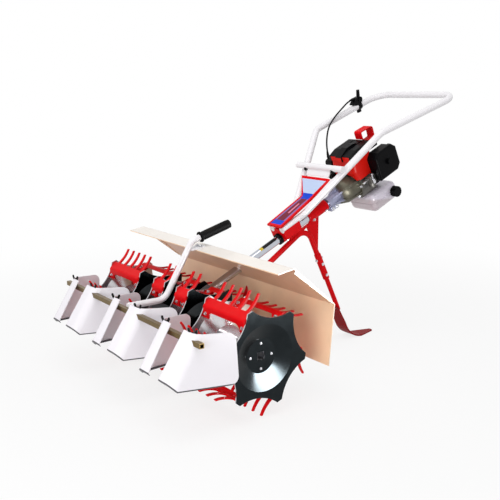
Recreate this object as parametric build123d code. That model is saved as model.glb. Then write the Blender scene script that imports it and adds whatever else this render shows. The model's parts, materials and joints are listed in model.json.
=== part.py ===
from build123d import *
from math import atan2, cos, degrees, hypot, radians, sin, tan
import os

# Three-row power paddy weeder. Millimetres. X runs across the crop rows, Y from the
# float noses back to the hand bar, Z up from the ground. A "rise" is a height above the axle.

# Clearances
FIT = 0.3                       # gap where one piece is slipped over or into another
RUNNING_GAP = 0.3               # axle journal in the gearbox

# Rotors
ROTOR_PITCH = 300.0             # distance between the crop rows
ROTOR_HALF = 105.0              # rotor middle to the outer face of its rim disc
INNER_DISC_FACE = 34.0          # machine middle to the first face of the split rotor
TIP_RADIUS = 180.0              # tine tips, which stand on the ground
CORNERS = 6
CORNER_RADIUS = 148.0           # star disc, across its blunt corners
CORNER_FLAT = 18.0
SCALLOP_RADIUS = 115.0          # star disc, lowest point of a hollow side
DISC_SHEET = 4.0
DISH_RADIUS = 97.0
DISH_DEPTH = 21.0
HUB_PLATE_RADIUS = 50.0
SLEEVE_RADIUS = 23.0
AXLE_SQUARE = 24.0
AXLE_RECESS = 30.0              # axle end inside the outermost hub plate
JOURNAL_RADIUS = 19.0

# Combs, as radial and tangential distances from a star corner
COMB_SHEET = 5.0
LEG_DROP = 50.0                 # corner radius down to the foot of a comb's legs
LEG_LEAD = 30.0
BEND_DROP = 17.0
BEND_LEAD = 21.0
BEND_RADIUS = 8.0
ROOT_DROP = 10.0
ROOT_TRAIL = 7.0
TINE_LAG = 20.5                 # degrees from a corner back to its tips
TINE_PITCH = 40.0
TINE_ROOT_WIDTH = 12.0
TINE_TIP_WIDTH = 7.0
LEG_WIDTH = 24.0
ARCH_STRIP = 12.0               # metal left above the arch between the legs
ARCH_CORNER = 20.0

# Drive tube and gearbox: stations run along the tube from the point nearest the axle
TUBE_SLOPE = 25.5
WORM_CENTRES = 50.0             # axle to tube axis
TUBE_RADIUS = 14.0
CASE_RADIUS = 56.0
CASE_HALF = 24.0
CASE_ROUND = 6.0
CASE_FLANGE = 4.0
CASE_BOLTS = 7
CASE_BOSS = 7.0
BEARING_RADIUS = 30.0
BEARING_HALF = 28.0
BARREL_RADIUS = 25.0
BARREL_FRONT = -62.0
BARREL_REAR = 70.0
NECK_RADIUS = 20.0
NECK_END = 120.0
RING = (428.0, 438.0)
LOWER_COLLAR = (440.0, 512.0)
UPPER_COLLAR = (574.0, 664.0)
COLLAR_RADIUS = 20.0
TUBE_END = 672.0

# Red frame tube with its stand, points as (y, rise)
FRAME_RADIUS = 9.5
FRAME_START = (66.0, 6.0)
FRAME_LOW = (208.0, 6.0)
FRAME_RISER = (250.0, 102.0)
FRAME_HIGH = (494.0, 262.0)     # corner between the tube and the stand leg
FRAME_BENDS = (40.0, 40.0, 46.0)
LEG_END = (655.0, -66.0)
LEG_RADIUS = 8.5
SOCKET_RADIUS = 12.0
SOCKET_TOP = 118.0              # along the leg from the corner
SOCKET_END = 222.0
LEG_INSERT = 60.0
GUSSET_SHEET = 8.0
GUSSET_DEPTH = 24.0             # below the collars, at its front end
FOOT_HALF = 29.0                # widest part of the spoon
FOOT_TOP_HALF = 15.0
FOOT_TOE_HALF = 8.0
FOOT_FLARE = 60.0               # height over which the spoon widens
FOOT_SHEET = 5.0
FOOT_LAP = 22.0                 # spoon running up the front of the leg
FOOT_BEND = 90.0
FOOT_FLAT = 76.0                # level stretch behind the bend
FOOT_CORNER = 7.0

# Mud guard, points as (y, rise)
GUARD_HALF = 425.0
GUARD_SHEET = 3.0
GUARD_LIP = (26.6, 238.0)
GUARD_RIDGE = (84.0, 247.0)
GUARD_CORNER = (239.6, 119.6)
GUARD_FOOT = (222.0, -66.0)
GUARD_BEND = 10.0
GUARD_FLANGE = (12.0, 5.0)      # depth of the folded end at the ridge and at the corner

# Lift handle and float bar, points as (y, rise)
LIFT_RADIUS = 10.0
LIFT_LOW = (-82.0, 92.0)
LIFT_HIGH = (20.0, 265.0)
LIFT_END = (158.0, 305.0)
LIFT_BEND_LOW = 45.0
LIFT_BEND_HIGH = 30.0
LIFT_LUG_REACH = 50.0           # gearbox lug under the lift handle
LIFT_LUG_DEPTH = 14.0
GRIP_RADIUS = 14.0
GRIP_LENGTH = 118.0
GRIP_CAP = 4.0
BAR_HALF = 7.0
BAR_WALL = 1.6
BAR_LENGTH = 838.0
BAR_AT = (-217.0, 82.0)
LIFT_PLATE = (12.0, 62.0, 30.0, 4.0)   # lip bracket: first y, last y, width, thickness

# Float shields
FLOAT_SHEET = 3.0
FLOAT_NOSE = (-297.0, -20.0)    # slot's lower corner
FLOAT_TOP = 105.0               # rise of the slot's upper corner
FLOAT_LEAN = 0.624              # nose runs back this far for each unit of rise
SLOT_HALF_LOW = 26.0
SLOT_HALF_HIGH = 35.0
WALL_CORNER = 92.0              # where the nose line meets the side wall line
WALL_FLARE = 10.0               # degrees
WALL_BEND = 35.0
FLOAT_REAR = -106.0
FLOAT_REAR_TOP = 97.0
FLOAT_BELLY = (-280.0, -38.0)
FLOAT_REAR_LOW = -44.0
FLOAT_CROWN = 80.0              # level part of the upper edge
FLOAT_CORNER = 24.0
FLOAT_HEM = 10.0                # folded in along the lower edge

# Handle frame
RAIL_RADIUS = 12.0
RAIL_FOOT = (27.0, 440.0)       # half spacing and tube station of the lower end
RAIL_FOOT_HEIGHT = 35.0         # above the tube axis
RAIL_TURN_STATION = 548.0
RAIL_KINK = (163.6, 677.0, 587.0)
RAIL_REAR = (197.5, 1030.0, 714.0)
RAIL_BENDS = (60.0, 50.0, 62.0)
CROSSBAR_RADIUS = 11.0
CROSSBAR_OVERHANG = 22.0        # past the middle of each rail
CROSSBAR_PLATE = 4.0
CROSSBAR_PLATE_HALF = 58.0
CROSSBAR_RISE = 452.0

# Label panel in the tube's own frame: (station, height, half width)
PANEL_LOW = (434.0, RAIL_FOOT_HEIGHT + RAIL_RADIUS + FIT, 37.0)
PANEL_WAIST = (606.0, RAIL_FOOT_HEIGHT + RAIL_RADIUS + FIT + 16, 30.0)
PANEL_HIGH = (668.0, 108.0, 74.0)
PANEL_SHEET = 7.0
PANEL_BEND = 30.0
PANEL_BORDER = 9.0
PANEL_RECESS = 1.2

# Thumb throttle in its rail's own frame: along the rail and out from the rail's axis
THROTTLE_AT = 0.665             # share of the run from the kink to the rear corner
THROTTLE_RING = 4.0
THROTTLE_RING_HALF = 9.0
THROTTLE_BODY = (-36.0, 16.0, 24.0)    # front end, rear end, height above the rail
THROTTLE_HALF = 10.0
THROTTLE_DRUM = (8.0, 11.0)     # place and radius of the lever's pivot
THROTTLE_REACH = 48.0           # lever above the rail
CABLE_RADIUS = 3.0

# Engine in the tube's own frame: stations along it, heights above it
BELL_START = 730.0
BELL_FULL = 770.0
BELL_END = 812.0
BELL_RADIUS = 45.0
BELL_FLANGE = 5.0               # flange standing out from the bell, and its thickness
BELL_RIBS = 6
BELL_RIB_SHEET = 5.0
BELL_RIB_LEAD = 34.0            # rib running ahead of the bell on to the neck
CLAMP_LUG = (676.0, 714.0)      # pinch clamp under the neck
CLAMP_LUG_HALF = 11.0
CLAMP_LUG_DROP = 13.0
CLAMP_SLOT = 3.0
CRANKCASE_END = 884.0
CRANK_RADIUS = 46.0
SUMP_HALF = 40.0
CRANKCASE_DROP = 52.0
CYLINDER_HALF = 27.0
CYLINDER_TOP = 104.0
CYLINDER_INSET = 9.0
FINS = 5
FIN_FIRST = 54.0
FIN_PITCH = 9.0
FIN_SHEET = 3.0
FIN_REACH = 7.0                 # out from the cylinder
SHROUD_FRONT = 790.0
SHROUD_HALF = 58.0
SHROUD_WALL = 4.0
SHROUD_DROP = 28.0              # height of its lower edge
SHROUD_NOSE = 62.0              # height of its foremost edge
SHROUD_LEAN = 8.0
SHROUD_CORNER = 16.0
BELL_CLEARANCE = 4.0
COVER_TOP = 134.0
COVER_FRONT = 794.0
COVER_REAR = 934.0
COVER_SHOULDER = (34.0, 10.0)   # slope at its front: length and fall
COVER_TAIL = (30.0, 18.0)       # slope at its rear: length and fall
COVER_ROUND = 8.0
COVER_GROOVE = (17.0, 23.0, 5.0)       # inner side, outer side, depth
COVER_VENTS = 6
COVER_VENT = (5.0, 14.0, 12.0)  # width, pitch, height
BOOT_HALF = 13.0
BOOT_PROUD = 7.0
HOOK_FRONT = 906.0
HOOK_REAR = 970.0
HOOK_RISE = 30.0
HOOK_DROP = 20.0
HOOK_SHEET = 4.0
HOOK_HALF = 17.0
STARTER_RADIUS = 50.0
STARTER_DEPTH = 34.0
STARTER_ROUND = 10.0
STARTER_SLOTS = 12
STARTER_SLOT = (4.0, 22.0, 38.0)       # width, inner radius, outer radius
PULL_RADIUS = 6.0
PULL_HALF = 17.0
FILTER_FACE = 106.0
FILTER_FRONT = 862.0
FILTER_REAR = 966.0
FILTER_TOP = 98.0
FILTER_CUT = 18.0               # sloping corners
FILTER_LID = 18.0
FILTER_LAP = 2.0
FILTER_ROUND = 7.0
FILTER_KNOB = (10.0, 9.0)       # radius, length
MUFFLER_FACE = 90.0
MUFFLER_FRONT = 796.0
MUFFLER_REAR = 902.0
MUFFLER_LOW = 24.0
MUFFLER_HIGH = 100.0
MUFFLER_ROUND = 12.0
MUFFLER_SLOTS = 5
MUFFLER_SLOT = (6.0, 14.0, 3.0)        # width, pitch, depth
OUTLET_RADIUS = 9.0
OUTLET_LENGTH = 12.0
TANK_BOTTOM = -122.0
TANK_FRONT = 822.0
TANK_REAR = 958.0
TANK_HALF = 66.0
TANK_ROUND = 22.0
TANK_SEAM = (1.6, 4.0)          # standing out, height
CAP_RADIUS = 20.0
CAP_DEPTH = 22.0
CAP_NOTCHES = 14
CAP_NOTCH = 2.4
CAP_INSET = 28.0                # cap's middle ahead of the tank's rear end

# Worked-out places
AXLE_HEIGHT = TIP_RADIUS
CORNER_PHASE = TINE_LAG - 90.0
ROW_STEP = 360.0 / CORNERS
SIDE = Plane(origin=(0, 0, AXLE_HEIGHT), x_dir=(0, 1, 0), z_dir=(1, 0, 0))
ON_AXLE = Location((0, 0, AXLE_HEIGHT))
TUBE_FOOT = (-WORM_CENTRES * sin(radians(TUBE_SLOPE)), WORM_CENTRES * cos(radians(TUBE_SLOPE)))
ON_TUBE = Location((0, TUBE_FOOT[0], AXLE_HEIGHT + TUBE_FOOT[1]), (TUBE_SLOPE, 0, 0))
HUB_INSIDE = ROTOR_HALF - DISH_DEPTH - DISC_SHEET
AXLE_HALF = ROTOR_PITCH + ROTOR_HALF - DISH_DEPTH - AXLE_RECESS
REAR_EDGE = RAIL_REAR[1] + RAIL_RADIUS
NOSE_EDGE = FLOAT_NOSE[0]
ORIGIN_Y = (NOSE_EDGE + REAR_EDGE) / 2


def polar(radius, angle):
    return (radius * cos(radians(angle)), radius * sin(radians(angle)))


def on_tube(station, height):
    """A tube station and height as (y, rise)."""
    along = polar(station, TUBE_SLOPE)
    up = polar(height, TUBE_SLOPE + 90)
    return (TUBE_FOOT[0] + along[0] + up[0], TUBE_FOOT[1] + along[1] + up[1])


def side_point(y, rise, x=0.0):
    return Vector(x, y, AXLE_HEIGHT + rise)


def band(path, thickness, side=Side.LEFT):
    """A sheet's section: the path thickened to one side."""
    return make_face(path.offset_2d(thickness, side=side))


def across(face, half, plane=SIDE):
    """A side-view face carried the same distance to both sides of the middle."""
    return extrude(plane * face, amount=half, both=True)


def outline(*points):
    return make_face(Polyline(*points, close=True))


def x_rod(radius, first, last):
    return Pos((first + last) / 2, 0, 0) * Rot(Y=90) * Cylinder(radius, last - first)


def y_rod(radius, first, last):
    return Pos(0, (first + last) / 2, 0) * Rot(X=90) * Cylinder(radius, last - first)


def block(x, y, z):
    """A box from its three (first, last) pairs."""
    sizes = [last - first for first, last in (x, y, z)]
    middle = [(first + last) / 2 for first, last in (x, y, z)]
    return Pos(*middle) * Box(*sizes)


def tube_along(path, radius):
    return sweep(Plane(path @ 0, z_dir=path % 0) * Circle(radius), path=path)


# Rotor pieces, made about the axle

def star_face():
    half_flat = degrees(atan2(CORNER_FLAT / 2, CORNER_RADIUS))
    reach = hypot(CORNER_RADIUS, CORNER_FLAT / 2)
    edges = []
    for k in range(CORNERS):
        corner = CORNER_PHASE + k * ROW_STEP
        trailing = polar(reach, corner - half_flat)
        leading = polar(reach, corner + half_flat)
        hollow = polar(SCALLOP_RADIUS, corner + ROW_STEP / 2)
        following = polar(reach, corner + ROW_STEP - half_flat)
        edges += [Line(trailing, leading), ThreePointArc(leading, hollow, following)]
    return make_face(edges)


def square_hole():
    side = AXLE_SQUARE + 2 * FIT
    return Box(4 * DISH_DEPTH, side, side)


def dished_disc():
    """Star plate whose outer face lies at x = 0, with a cone pressed inwards."""
    rim = extrude(Plane.YZ * star_face(), amount=-DISC_SHEET)
    rim -= x_rod(DISH_RADIUS, -2 * DISC_SHEET, DISC_SHEET)
    section = outline(
        (0, DISH_RADIUS), (-DISH_DEPTH, HUB_PLATE_RADIUS), (-DISH_DEPTH, 0),
        (-DISH_DEPTH - DISC_SHEET, 0), (-DISH_DEPTH - DISC_SHEET, HUB_PLATE_RADIUS),
        (-DISC_SHEET, DISH_RADIUS))
    return rim + revolve(section, Axis.X) - Pos(-DISH_DEPTH, 0, 0) * square_hole()


def flat_disc():
    return extrude(Plane.YZ * star_face(), amount=-DISC_SHEET) - square_hole()


def hub_sleeve(first, last):
    side = AXLE_SQUARE + 2 * FIT
    sleeve = x_rod(SLEEVE_RADIUS, first, last)
    return sleeve - block((first, last), (-side / 2, side / 2), (-side / 2, side / 2))


def comb(half_span, tines):
    """One comb, its star corner on +Y: two legs under an arch, a plate, and curved tines."""
    leg_foot = (CORNER_RADIUS - LEG_DROP, LEG_LEAD)
    bend = (CORNER_RADIUS - BEND_DROP, BEND_LEAD)
    root = (CORNER_RADIUS - ROOT_DROP, -ROOT_TRAIL)
    tip = polar(TIP_RADIUS + COMB_SHEET, -TINE_LAG)
    plate_path = Wire(FilletPolyline(leg_foot, bend, root, radius=BEND_RADIUS).edges())
    run = (root[0] - bend[0], root[1] - bend[1])
    tine_path = Wire([TangentArc(root, tip, tangent=run)])
    plate = across(band(plate_path, COMB_SHEET), half_span, Plane.YZ)
    arch_half = half_span - LEG_WIDTH
    arch_top = bend[0] - ARCH_STRIP
    arch_height = 2 * (arch_top - leg_foot[0])
    corner = min(ARCH_CORNER, 0.95 * arch_half)
    arch = Pos(0, arch_top - arch_height / 2) * RectangleRounded(2 * arch_half, arch_height, corner)
    plate -= extrude(Plane.XY * arch, amount=2 * LEG_LEAD)
    strip = across(band(tine_path, COMB_SHEET), half_span, Plane.YZ)
    result = plate
    for offset in tines:
        x = offset * TINE_PITCH
        blade = outline(
            (x - TINE_ROOT_WIDTH / 2, root[1] + 1), (x + TINE_ROOT_WIDTH / 2, root[1] + 1),
            (x + TINE_TIP_WIDTH / 2, tip[1] - COMB_SHEET), (x - TINE_TIP_WIDTH / 2, tip[1] - COMB_SHEET))
        result += strip & extrude(Plane.XZ * blade, amount=-2 * TIP_RADIUS)
    ear = outline(leg_foot, bend, root, (leg_foot[0] + COMB_SHEET, root[1] + LEG_LEAD / 2))
    for way in (-1, 1):
        cheek = extrude(Plane.YZ * ear, amount=COMB_SHEET)
        result += Pos(-half_span if way < 0 else half_span - COMB_SHEET, 0, 0) * cheek
    return result & x_rod(TIP_RADIUS, -half_span, half_span)


def comb_ring(half_span, tines):
    one = comb(half_span, tines)
    return [Rot(X=CORNER_PHASE + k * ROW_STEP) * one for k in range(CORNERS)]


def axle():
    bar = Box(2 * AXLE_HALF, AXLE_SQUARE, AXLE_SQUARE)
    return bar + x_rod(JOURNAL_RADIUS, -INNER_DISC_FACE, INNER_DISC_FACE)


# Middle pieces

def gearbox():
    case = x_rod(CASE_RADIUS, -CASE_HALF, CASE_HALF)
    case = fillet(case.edges().filter_by(GeomType.CIRCLE), CASE_ROUND)
    case += x_rod(BEARING_RADIUS, -BEARING_HALF, BEARING_HALF)
    case += x_rod(CASE_RADIUS + CASE_FLANGE, -CASE_FLANGE, CASE_FLANGE)
    for k in range(CASE_BOLTS):
        y, z = polar(CASE_RADIUS, (k + 0.5) * 360 / CASE_BOLTS)
        case += Pos(0, y, z) * x_rod(CASE_BOSS, -CASE_HALF + CASE_ROUND, CASE_HALF - CASE_ROUND)
    case = ON_AXLE * case
    barrel = y_rod(BARREL_RADIUS, BARREL_FRONT, BARREL_REAR) + y_rod(NECK_RADIUS, BARREL_REAR, NECK_END)
    case += ON_TUBE * barrel
    lift_under = LIFT_LOW[1] - LIFT_RADIUS
    lug_end = LIFT_LOW[0] - LIFT_LUG_REACH
    lug = outline(polar(CASE_RADIUS, 120), polar(CASE_RADIUS, 170), (lug_end, lift_under - LIFT_LUG_DEPTH),
                  (lug_end, lift_under - FIT), (LIFT_LOW[0] - LIFT_RADIUS, lift_under - FIT))
    case += across(lug, GUSSET_SHEET / 2)
    boss_end = FRAME_START[0]
    boss = outline((0, FRAME_START[1] + FRAME_RADIUS), (0, FRAME_START[1] - FRAME_RADIUS),
                   (boss_end, FRAME_START[1] - FRAME_RADIUS), (boss_end, FRAME_START[1] + FRAME_RADIUS))
    case += across(boss, FRAME_RADIUS)
    return case - ON_AXLE * x_rod(JOURNAL_RADIUS + RUNNING_GAP, -2 * CASE_HALF, 2 * CASE_HALF)


def collar(ends):
    """A ring clamped round the drive tube."""
    return ON_TUBE * (y_rod(COLLAR_RADIUS, *ends) - y_rod(TUBE_RADIUS + FIT, *ends))


def leg_direction():
    return Vector(0, LEG_END[0] - FRAME_HIGH[0], LEG_END[1] - FRAME_HIGH[1]).normalized()


def leg_plane(along):
    """Square to the stand leg, at a distance from the corner above it."""
    return Plane(side_point(*FRAME_HIGH) + leg_direction() * along, x_dir=(1, 0, 0), z_dir=leg_direction())


def leg_length():
    return hypot(LEG_END[0] - FRAME_HIGH[0], LEG_END[1] - FRAME_HIGH[1])


def frame_path():
    corners = [side_point(*p) for p in (FRAME_START, FRAME_LOW, FRAME_RISER, FRAME_HIGH)]
    return FilletPolyline(*corners, leg_plane(SOCKET_TOP).origin, radius=FRAME_BENDS)


def frame_tube():
    """Bent tube from the gearbox to the stand socket, with the gusset under the collars."""
    middle = [(first + last) / 2 for first, last in (LOWER_COLLAR, UPPER_COLLAR)]
    low = on_tube(middle[0], -COLLAR_RADIUS - FIT)
    high = on_tube(middle[1], -COLLAR_RADIUS - FIT)
    leg_side = leg_plane(SOCKET_TOP).origin
    plate = outline(low, high, (leg_side.Y, leg_side.Z - AXLE_HEIGHT), FRAME_HIGH,
                    on_tube(middle[0], -COLLAR_RADIUS - GUSSET_DEPTH))
    plate = across(plate, GUSSET_SHEET / 2) - under_bend()
    return tube_along(frame_path(), FRAME_RADIUS) + plate


def under_bend():
    """The open space on the inner side of the bend, which the gusset stays out of."""
    corners = [side_point(*p) for p in (FRAME_RISER, FRAME_HIGH)]
    inner = FilletPolyline(*corners, leg_plane(SOCKET_TOP).origin, radius=FRAME_BENDS[2])
    flat = [(p.Y, p.Z - AXLE_HEIGHT) for p in (inner @ 0, inner @ 1)]
    curve = Wire(inner.edges()).moved(Location((0, 0, -AXLE_HEIGHT)))
    face = make_face(curve.edges() + [Line((0, *flat[1]), (0, *flat[0]))])
    return extrude(Location((0, 0, AXLE_HEIGHT)) * face, amount=2 * GUSSET_SHEET, both=True)


def stand_socket():
    sleeve = extrude(leg_plane(SOCKET_TOP) * Circle(SOCKET_RADIUS), amount=SOCKET_END - SOCKET_TOP)
    return sleeve - extrude(leg_plane(SOCKET_END) * Circle(LEG_RADIUS + FIT), amount=-LEG_INSERT - FIT)


def stand_leg():
    start = SOCKET_END - LEG_INSERT
    return extrude(leg_plane(start) * Circle(LEG_RADIUS), amount=leg_length() - start)


def stand_foot():
    """Spoon skid: up the front of the leg, round a wide bend, and level along the ground to a blunt toe."""
    lean = leg_direction()
    clear = (lean.Z * (LEG_RADIUS + FIT), -lean.Y * (LEG_RADIUS + FIT))
    end = (LEG_END[0] + clear[0], LEG_END[1] + clear[1])
    top = (end[0] - lean.Y * FOOT_LAP, end[1] - lean.Z * FOOT_LAP)
    level = FOOT_SHEET - AXLE_HEIGHT
    down = (level - end[1]) / lean.Z
    sole = (end[0] + lean.Y * down, level)
    level_start = sole[0] + FOOT_BEND * tan(atan2(-lean.Z, lean.Y) / 2)
    toe = level_start + FOOT_FLAT
    path = Wire(FilletPolyline(top, sole, (toe, level), radius=FOOT_BEND).edges())
    sheet = across(band(path, FOOT_SHEET, Side.RIGHT), FOOT_HALF)
    flare = top[1] - FOOT_FLARE
    front = outline((-FOOT_TOP_HALF, top[1] + FOOT_LAP), (FOOT_TOP_HALF, top[1] + FOOT_LAP), (FOOT_HALF, flare),
                    (FOOT_HALF, -2 * AXLE_HEIGHT), (-FOOT_HALF, -2 * AXLE_HEIGHT), (-FOOT_HALF, flare))
    above = outline((-FOOT_HALF, 0), (FOOT_HALF, 0), (FOOT_HALF, level_start), (FOOT_TOE_HALF, toe),
                    (-FOOT_TOE_HALF, toe), (-FOOT_HALF, level_start))
    above = fillet(above.vertices().filter_by_position(Axis.Y, toe - 1, toe + 1), FOOT_CORNER)
    sheet &= extrude(Plane.XZ * Pos(0, AXLE_HEIGHT) * front, amount=-2 * toe)
    return sheet & extrude(above, amount=2 * AXLE_HEIGHT)


def guard_flange():
    """The slope's folded end, as a side view."""
    run = Vector(*GUARD_CORNER) - Vector(*GUARD_RIDGE)
    along = run.normalized()
    inward = Vector(along.Y, -along.X)
    first = Vector(*GUARD_RIDGE) + along * GUARD_BEND
    last = Vector(*GUARD_CORNER) - along * GUARD_BEND
    deep, shallow = GUARD_FLANGE
    return outline(first, last, last + inward * shallow, first + inward * deep)


def mud_guard():
    path = Wire(FilletPolyline(GUARD_LIP, GUARD_RIDGE, GUARD_CORNER, GUARD_FOOT, radius=GUARD_BEND).edges())
    sheet = across(band(path, GUARD_SHEET, Side.RIGHT), GUARD_HALF)
    for end in (GUARD_HALF - GUARD_SHEET, -GUARD_HALF):
        sheet += Pos(end, 0, 0) * extrude(SIDE * guard_flange(), amount=GUARD_SHEET)
    sheet -= ON_TUBE * y_rod(TUBE_RADIUS + FIT, 0, TUBE_END)
    return sheet - tube_along(frame_path(), FRAME_RADIUS + FIT)


# Front pieces

def lift_path():
    points = [side_point(*p) for p in ((BAR_AT[0] + BAR_HALF, LIFT_LOW[1]), LIFT_LOW, LIFT_HIGH, LIFT_END)]
    return FilletPolyline(*points, radius=[LIFT_BEND_LOW, LIFT_BEND_HIGH])


def lift_handle():
    return tube_along(lift_path(), LIFT_RADIUS)


def grip_plane():
    run = Vector(0, LIFT_END[0] - LIFT_HIGH[0], LIFT_END[1] - LIFT_HIGH[1])
    return Plane(side_point(*LIFT_END), x_dir=(1, 0, 0), z_dir=run)


def lift_grip():
    sleeve = extrude(grip_plane().offset(GRIP_CAP) * Circle(GRIP_RADIUS), amount=-GRIP_LENGTH)
    hollow = extrude(grip_plane().offset(FIT) * Circle(LIFT_RADIUS + FIT), amount=-2 * GRIP_LENGTH)
    return sleeve - hollow


def float_bar():
    bar = Box(BAR_LENGTH, 2 * BAR_HALF, 2 * BAR_HALF)
    inner = 2 * (BAR_HALF - BAR_WALL)
    return Pos(side_point(*BAR_AT)) * (bar - Box(BAR_LENGTH, inner, inner))


def guard_bracket():
    first, last, width, sheet = LIFT_PLATE
    lip_slope = degrees(atan2(GUARD_RIDGE[1] - GUARD_LIP[1], GUARD_RIDGE[0] - GUARD_LIP[0]))
    plate = block((-width / 2, width / 2), (first - GUARD_LIP[0], last - GUARD_LIP[0]), (FIT, FIT + sheet))
    plate = Location(side_point(*GUARD_LIP), (lip_slope, 0, 0)) * plate
    return plate - tube_along(lift_path(), LIFT_RADIUS + FIT)


def float_shield():
    """The shield on the +X side of a row's middle."""
    low = FLOAT_REAR_LOW - FLOAT_HEM
    high = FLOAT_TOP + FLOAT_HEM
    nose = FLOAT_NOSE[0] + FLOAT_LEAN * (low - FLOAT_NOSE[1])
    depth = FLOAT_REAR - nose
    plan = FilletPolyline((0, nose), (WALL_CORNER, nose),
                          (WALL_CORNER + tan(radians(WALL_FLARE)) * depth, nose + depth), radius=WALL_BEND)
    rise = hypot(1, FLOAT_LEAN) * (high - low)
    floor = Plane.XY.offset(AXLE_HEIGHT + low)
    wall, fold = [extrude(floor * band(Wire(plan.edges()), sheet), amount=rise, dir=(0, FLOAT_LEAN, 1))
                  for sheet in (FLOAT_SHEET, FLOAT_HEM)]
    front = nose - ROTOR_HALF
    edge = ((front, FLOAT_NOSE[1]), FLOAT_NOSE, FLOAT_BELLY, (FLOAT_REAR, FLOAT_REAR_LOW))
    view = outline(*edge, (FLOAT_REAR, FLOAT_REAR_TOP), (FLOAT_NOSE[0] + FLOAT_CROWN, FLOAT_TOP), (front, FLOAT_TOP))
    view = fillet(view.vertices().filter_by_position(Axis.X, FLOAT_REAR - 1, FLOAT_REAR + 1), FLOAT_CORNER)
    hem = outline(*edge, *[(y, edge_rise + FLOAT_SHEET) for y, edge_rise in reversed(edge)])
    shield = across(view, 2 * ROTOR_HALF)
    wall = (wall & shield) + (fold & across(hem, 2 * ROTOR_HALF) & shield)
    slot = outline((-1, low), (SLOT_HALF_LOW, low), (SLOT_HALF_HIGH, high), (-1, high))
    wall -= extrude(Plane.XZ.offset(-ROTOR_HALF) * Pos(0, AXLE_HEIGHT) * slot, amount=4 * ROTOR_HALF)
    hole = 2 * (BAR_HALF + FIT)
    return wall - Pos(side_point(*BAR_AT)) * Box(BAR_LENGTH, hole, hole)


# Handle pieces

def rail_clamp():
    """The lower collar, with the saddle that carries both rails."""
    half = RAIL_FOOT[0] + RAIL_RADIUS
    saddle = ON_TUBE * block((-half, half), LOWER_COLLAR, (0, RAIL_FOOT_HEIGHT))
    saddle -= ON_TUBE * y_rod(TUBE_RADIUS + FIT, *LOWER_COLLAR)
    for way in (-1, 1):
        rail = y_rod(RAIL_RADIUS + FIT, LOWER_COLLAR[0] - 1, LOWER_COLLAR[1] + 1)
        saddle -= ON_TUBE * Pos(way * RAIL_FOOT[0], 0, RAIL_FOOT_HEIGHT) * rail
    return collar(LOWER_COLLAR) + saddle


def rail_points(way):
    half, station = RAIL_FOOT
    foot = on_tube(station, RAIL_FOOT_HEIGHT)
    turn = on_tube(RAIL_TURN_STATION, RAIL_FOOT_HEIGHT)
    rows = ((half, *foot), (half, *turn), RAIL_KINK, RAIL_REAR)
    return [side_point(y, rise, way * x) for x, y, rise in rows]


def handle_rails():
    path = FilletPolyline(*rail_points(-1), *reversed(rail_points(1)), radius=[*RAIL_BENDS, *reversed(RAIL_BENDS)])
    return tube_along(path, RAIL_RADIUS)


def crossbar():
    """Tube laid across the front of both rails, with the plate that carries the panel's upper edge."""
    turn = on_tube(RAIL_TURN_STATION, RAIL_FOOT_HEIGHT)
    run = (RAIL_KINK[1] - turn[0], RAIL_KINK[2] - turn[1])
    length = hypot(*run)
    share = (CROSSBAR_RISE - turn[1]) / run[1]
    offset = RAIL_RADIUS + CROSSBAR_RADIUS + FIT
    y = turn[0] + share * run[0] - offset * run[1] / length
    rise = CROSSBAR_RISE + offset * run[0] / length
    half = RAIL_FOOT[0] + share * (RAIL_KINK[0] - RAIL_FOOT[0]) + CROSSBAR_OVERHANG
    bar = Pos(side_point(y, rise)) * x_rod(CROSSBAR_RADIUS, -half, half)
    edge = Vector(*on_tube(PANEL_HIGH[0], PANEL_HIGH[1]))
    drop = (Vector(y, rise) - edge).normalized()
    path = Wire(Polyline(tuple(edge + drop * PANEL_SHEET)[:2], (y, rise)).edges())
    return bar + across(band(path, CROSSBAR_PLATE, Side.RIGHT), CROSSBAR_PLATE_HALF)


def panel_plan(inset):
    """The panel seen square to the tube, drawn in by an inset."""
    low, waist, high = PANEL_LOW, PANEL_WAIST, PANEL_HIGH
    rows = ((low[2], low[0] + inset), (waist[2], waist[0]), (high[2], high[0] - inset))
    left = [(inset - half, station) for half, station in rows]
    right = [(half - inset, station) for half, station in reversed(rows)]
    return extrude(outline(*left, *right), amount=2 * PANEL_HIGH[1])


def label_panel():
    """Bent sheet with a shallow recess for its label."""
    rows = (PANEL_LOW, PANEL_WAIST, PANEL_HIGH)
    path = Wire(FilletPolyline(*[(station, height) for station, height, half in rows], radius=PANEL_BEND).edges())
    half_width = max(half for station, height, half in rows)
    sheet, above, floor = [across(band(path, depth), half_width, Plane.YZ)
                           for depth in (PANEL_SHEET, 2 * PANEL_SHEET, PANEL_SHEET - PANEL_RECESS)]
    recess = (above - floor) & panel_plan(PANEL_BORDER)
    return ON_TUBE * ((sheet & panel_plan(0)) - recess)


# Engine pieces, made in the tube's own frame

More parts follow.
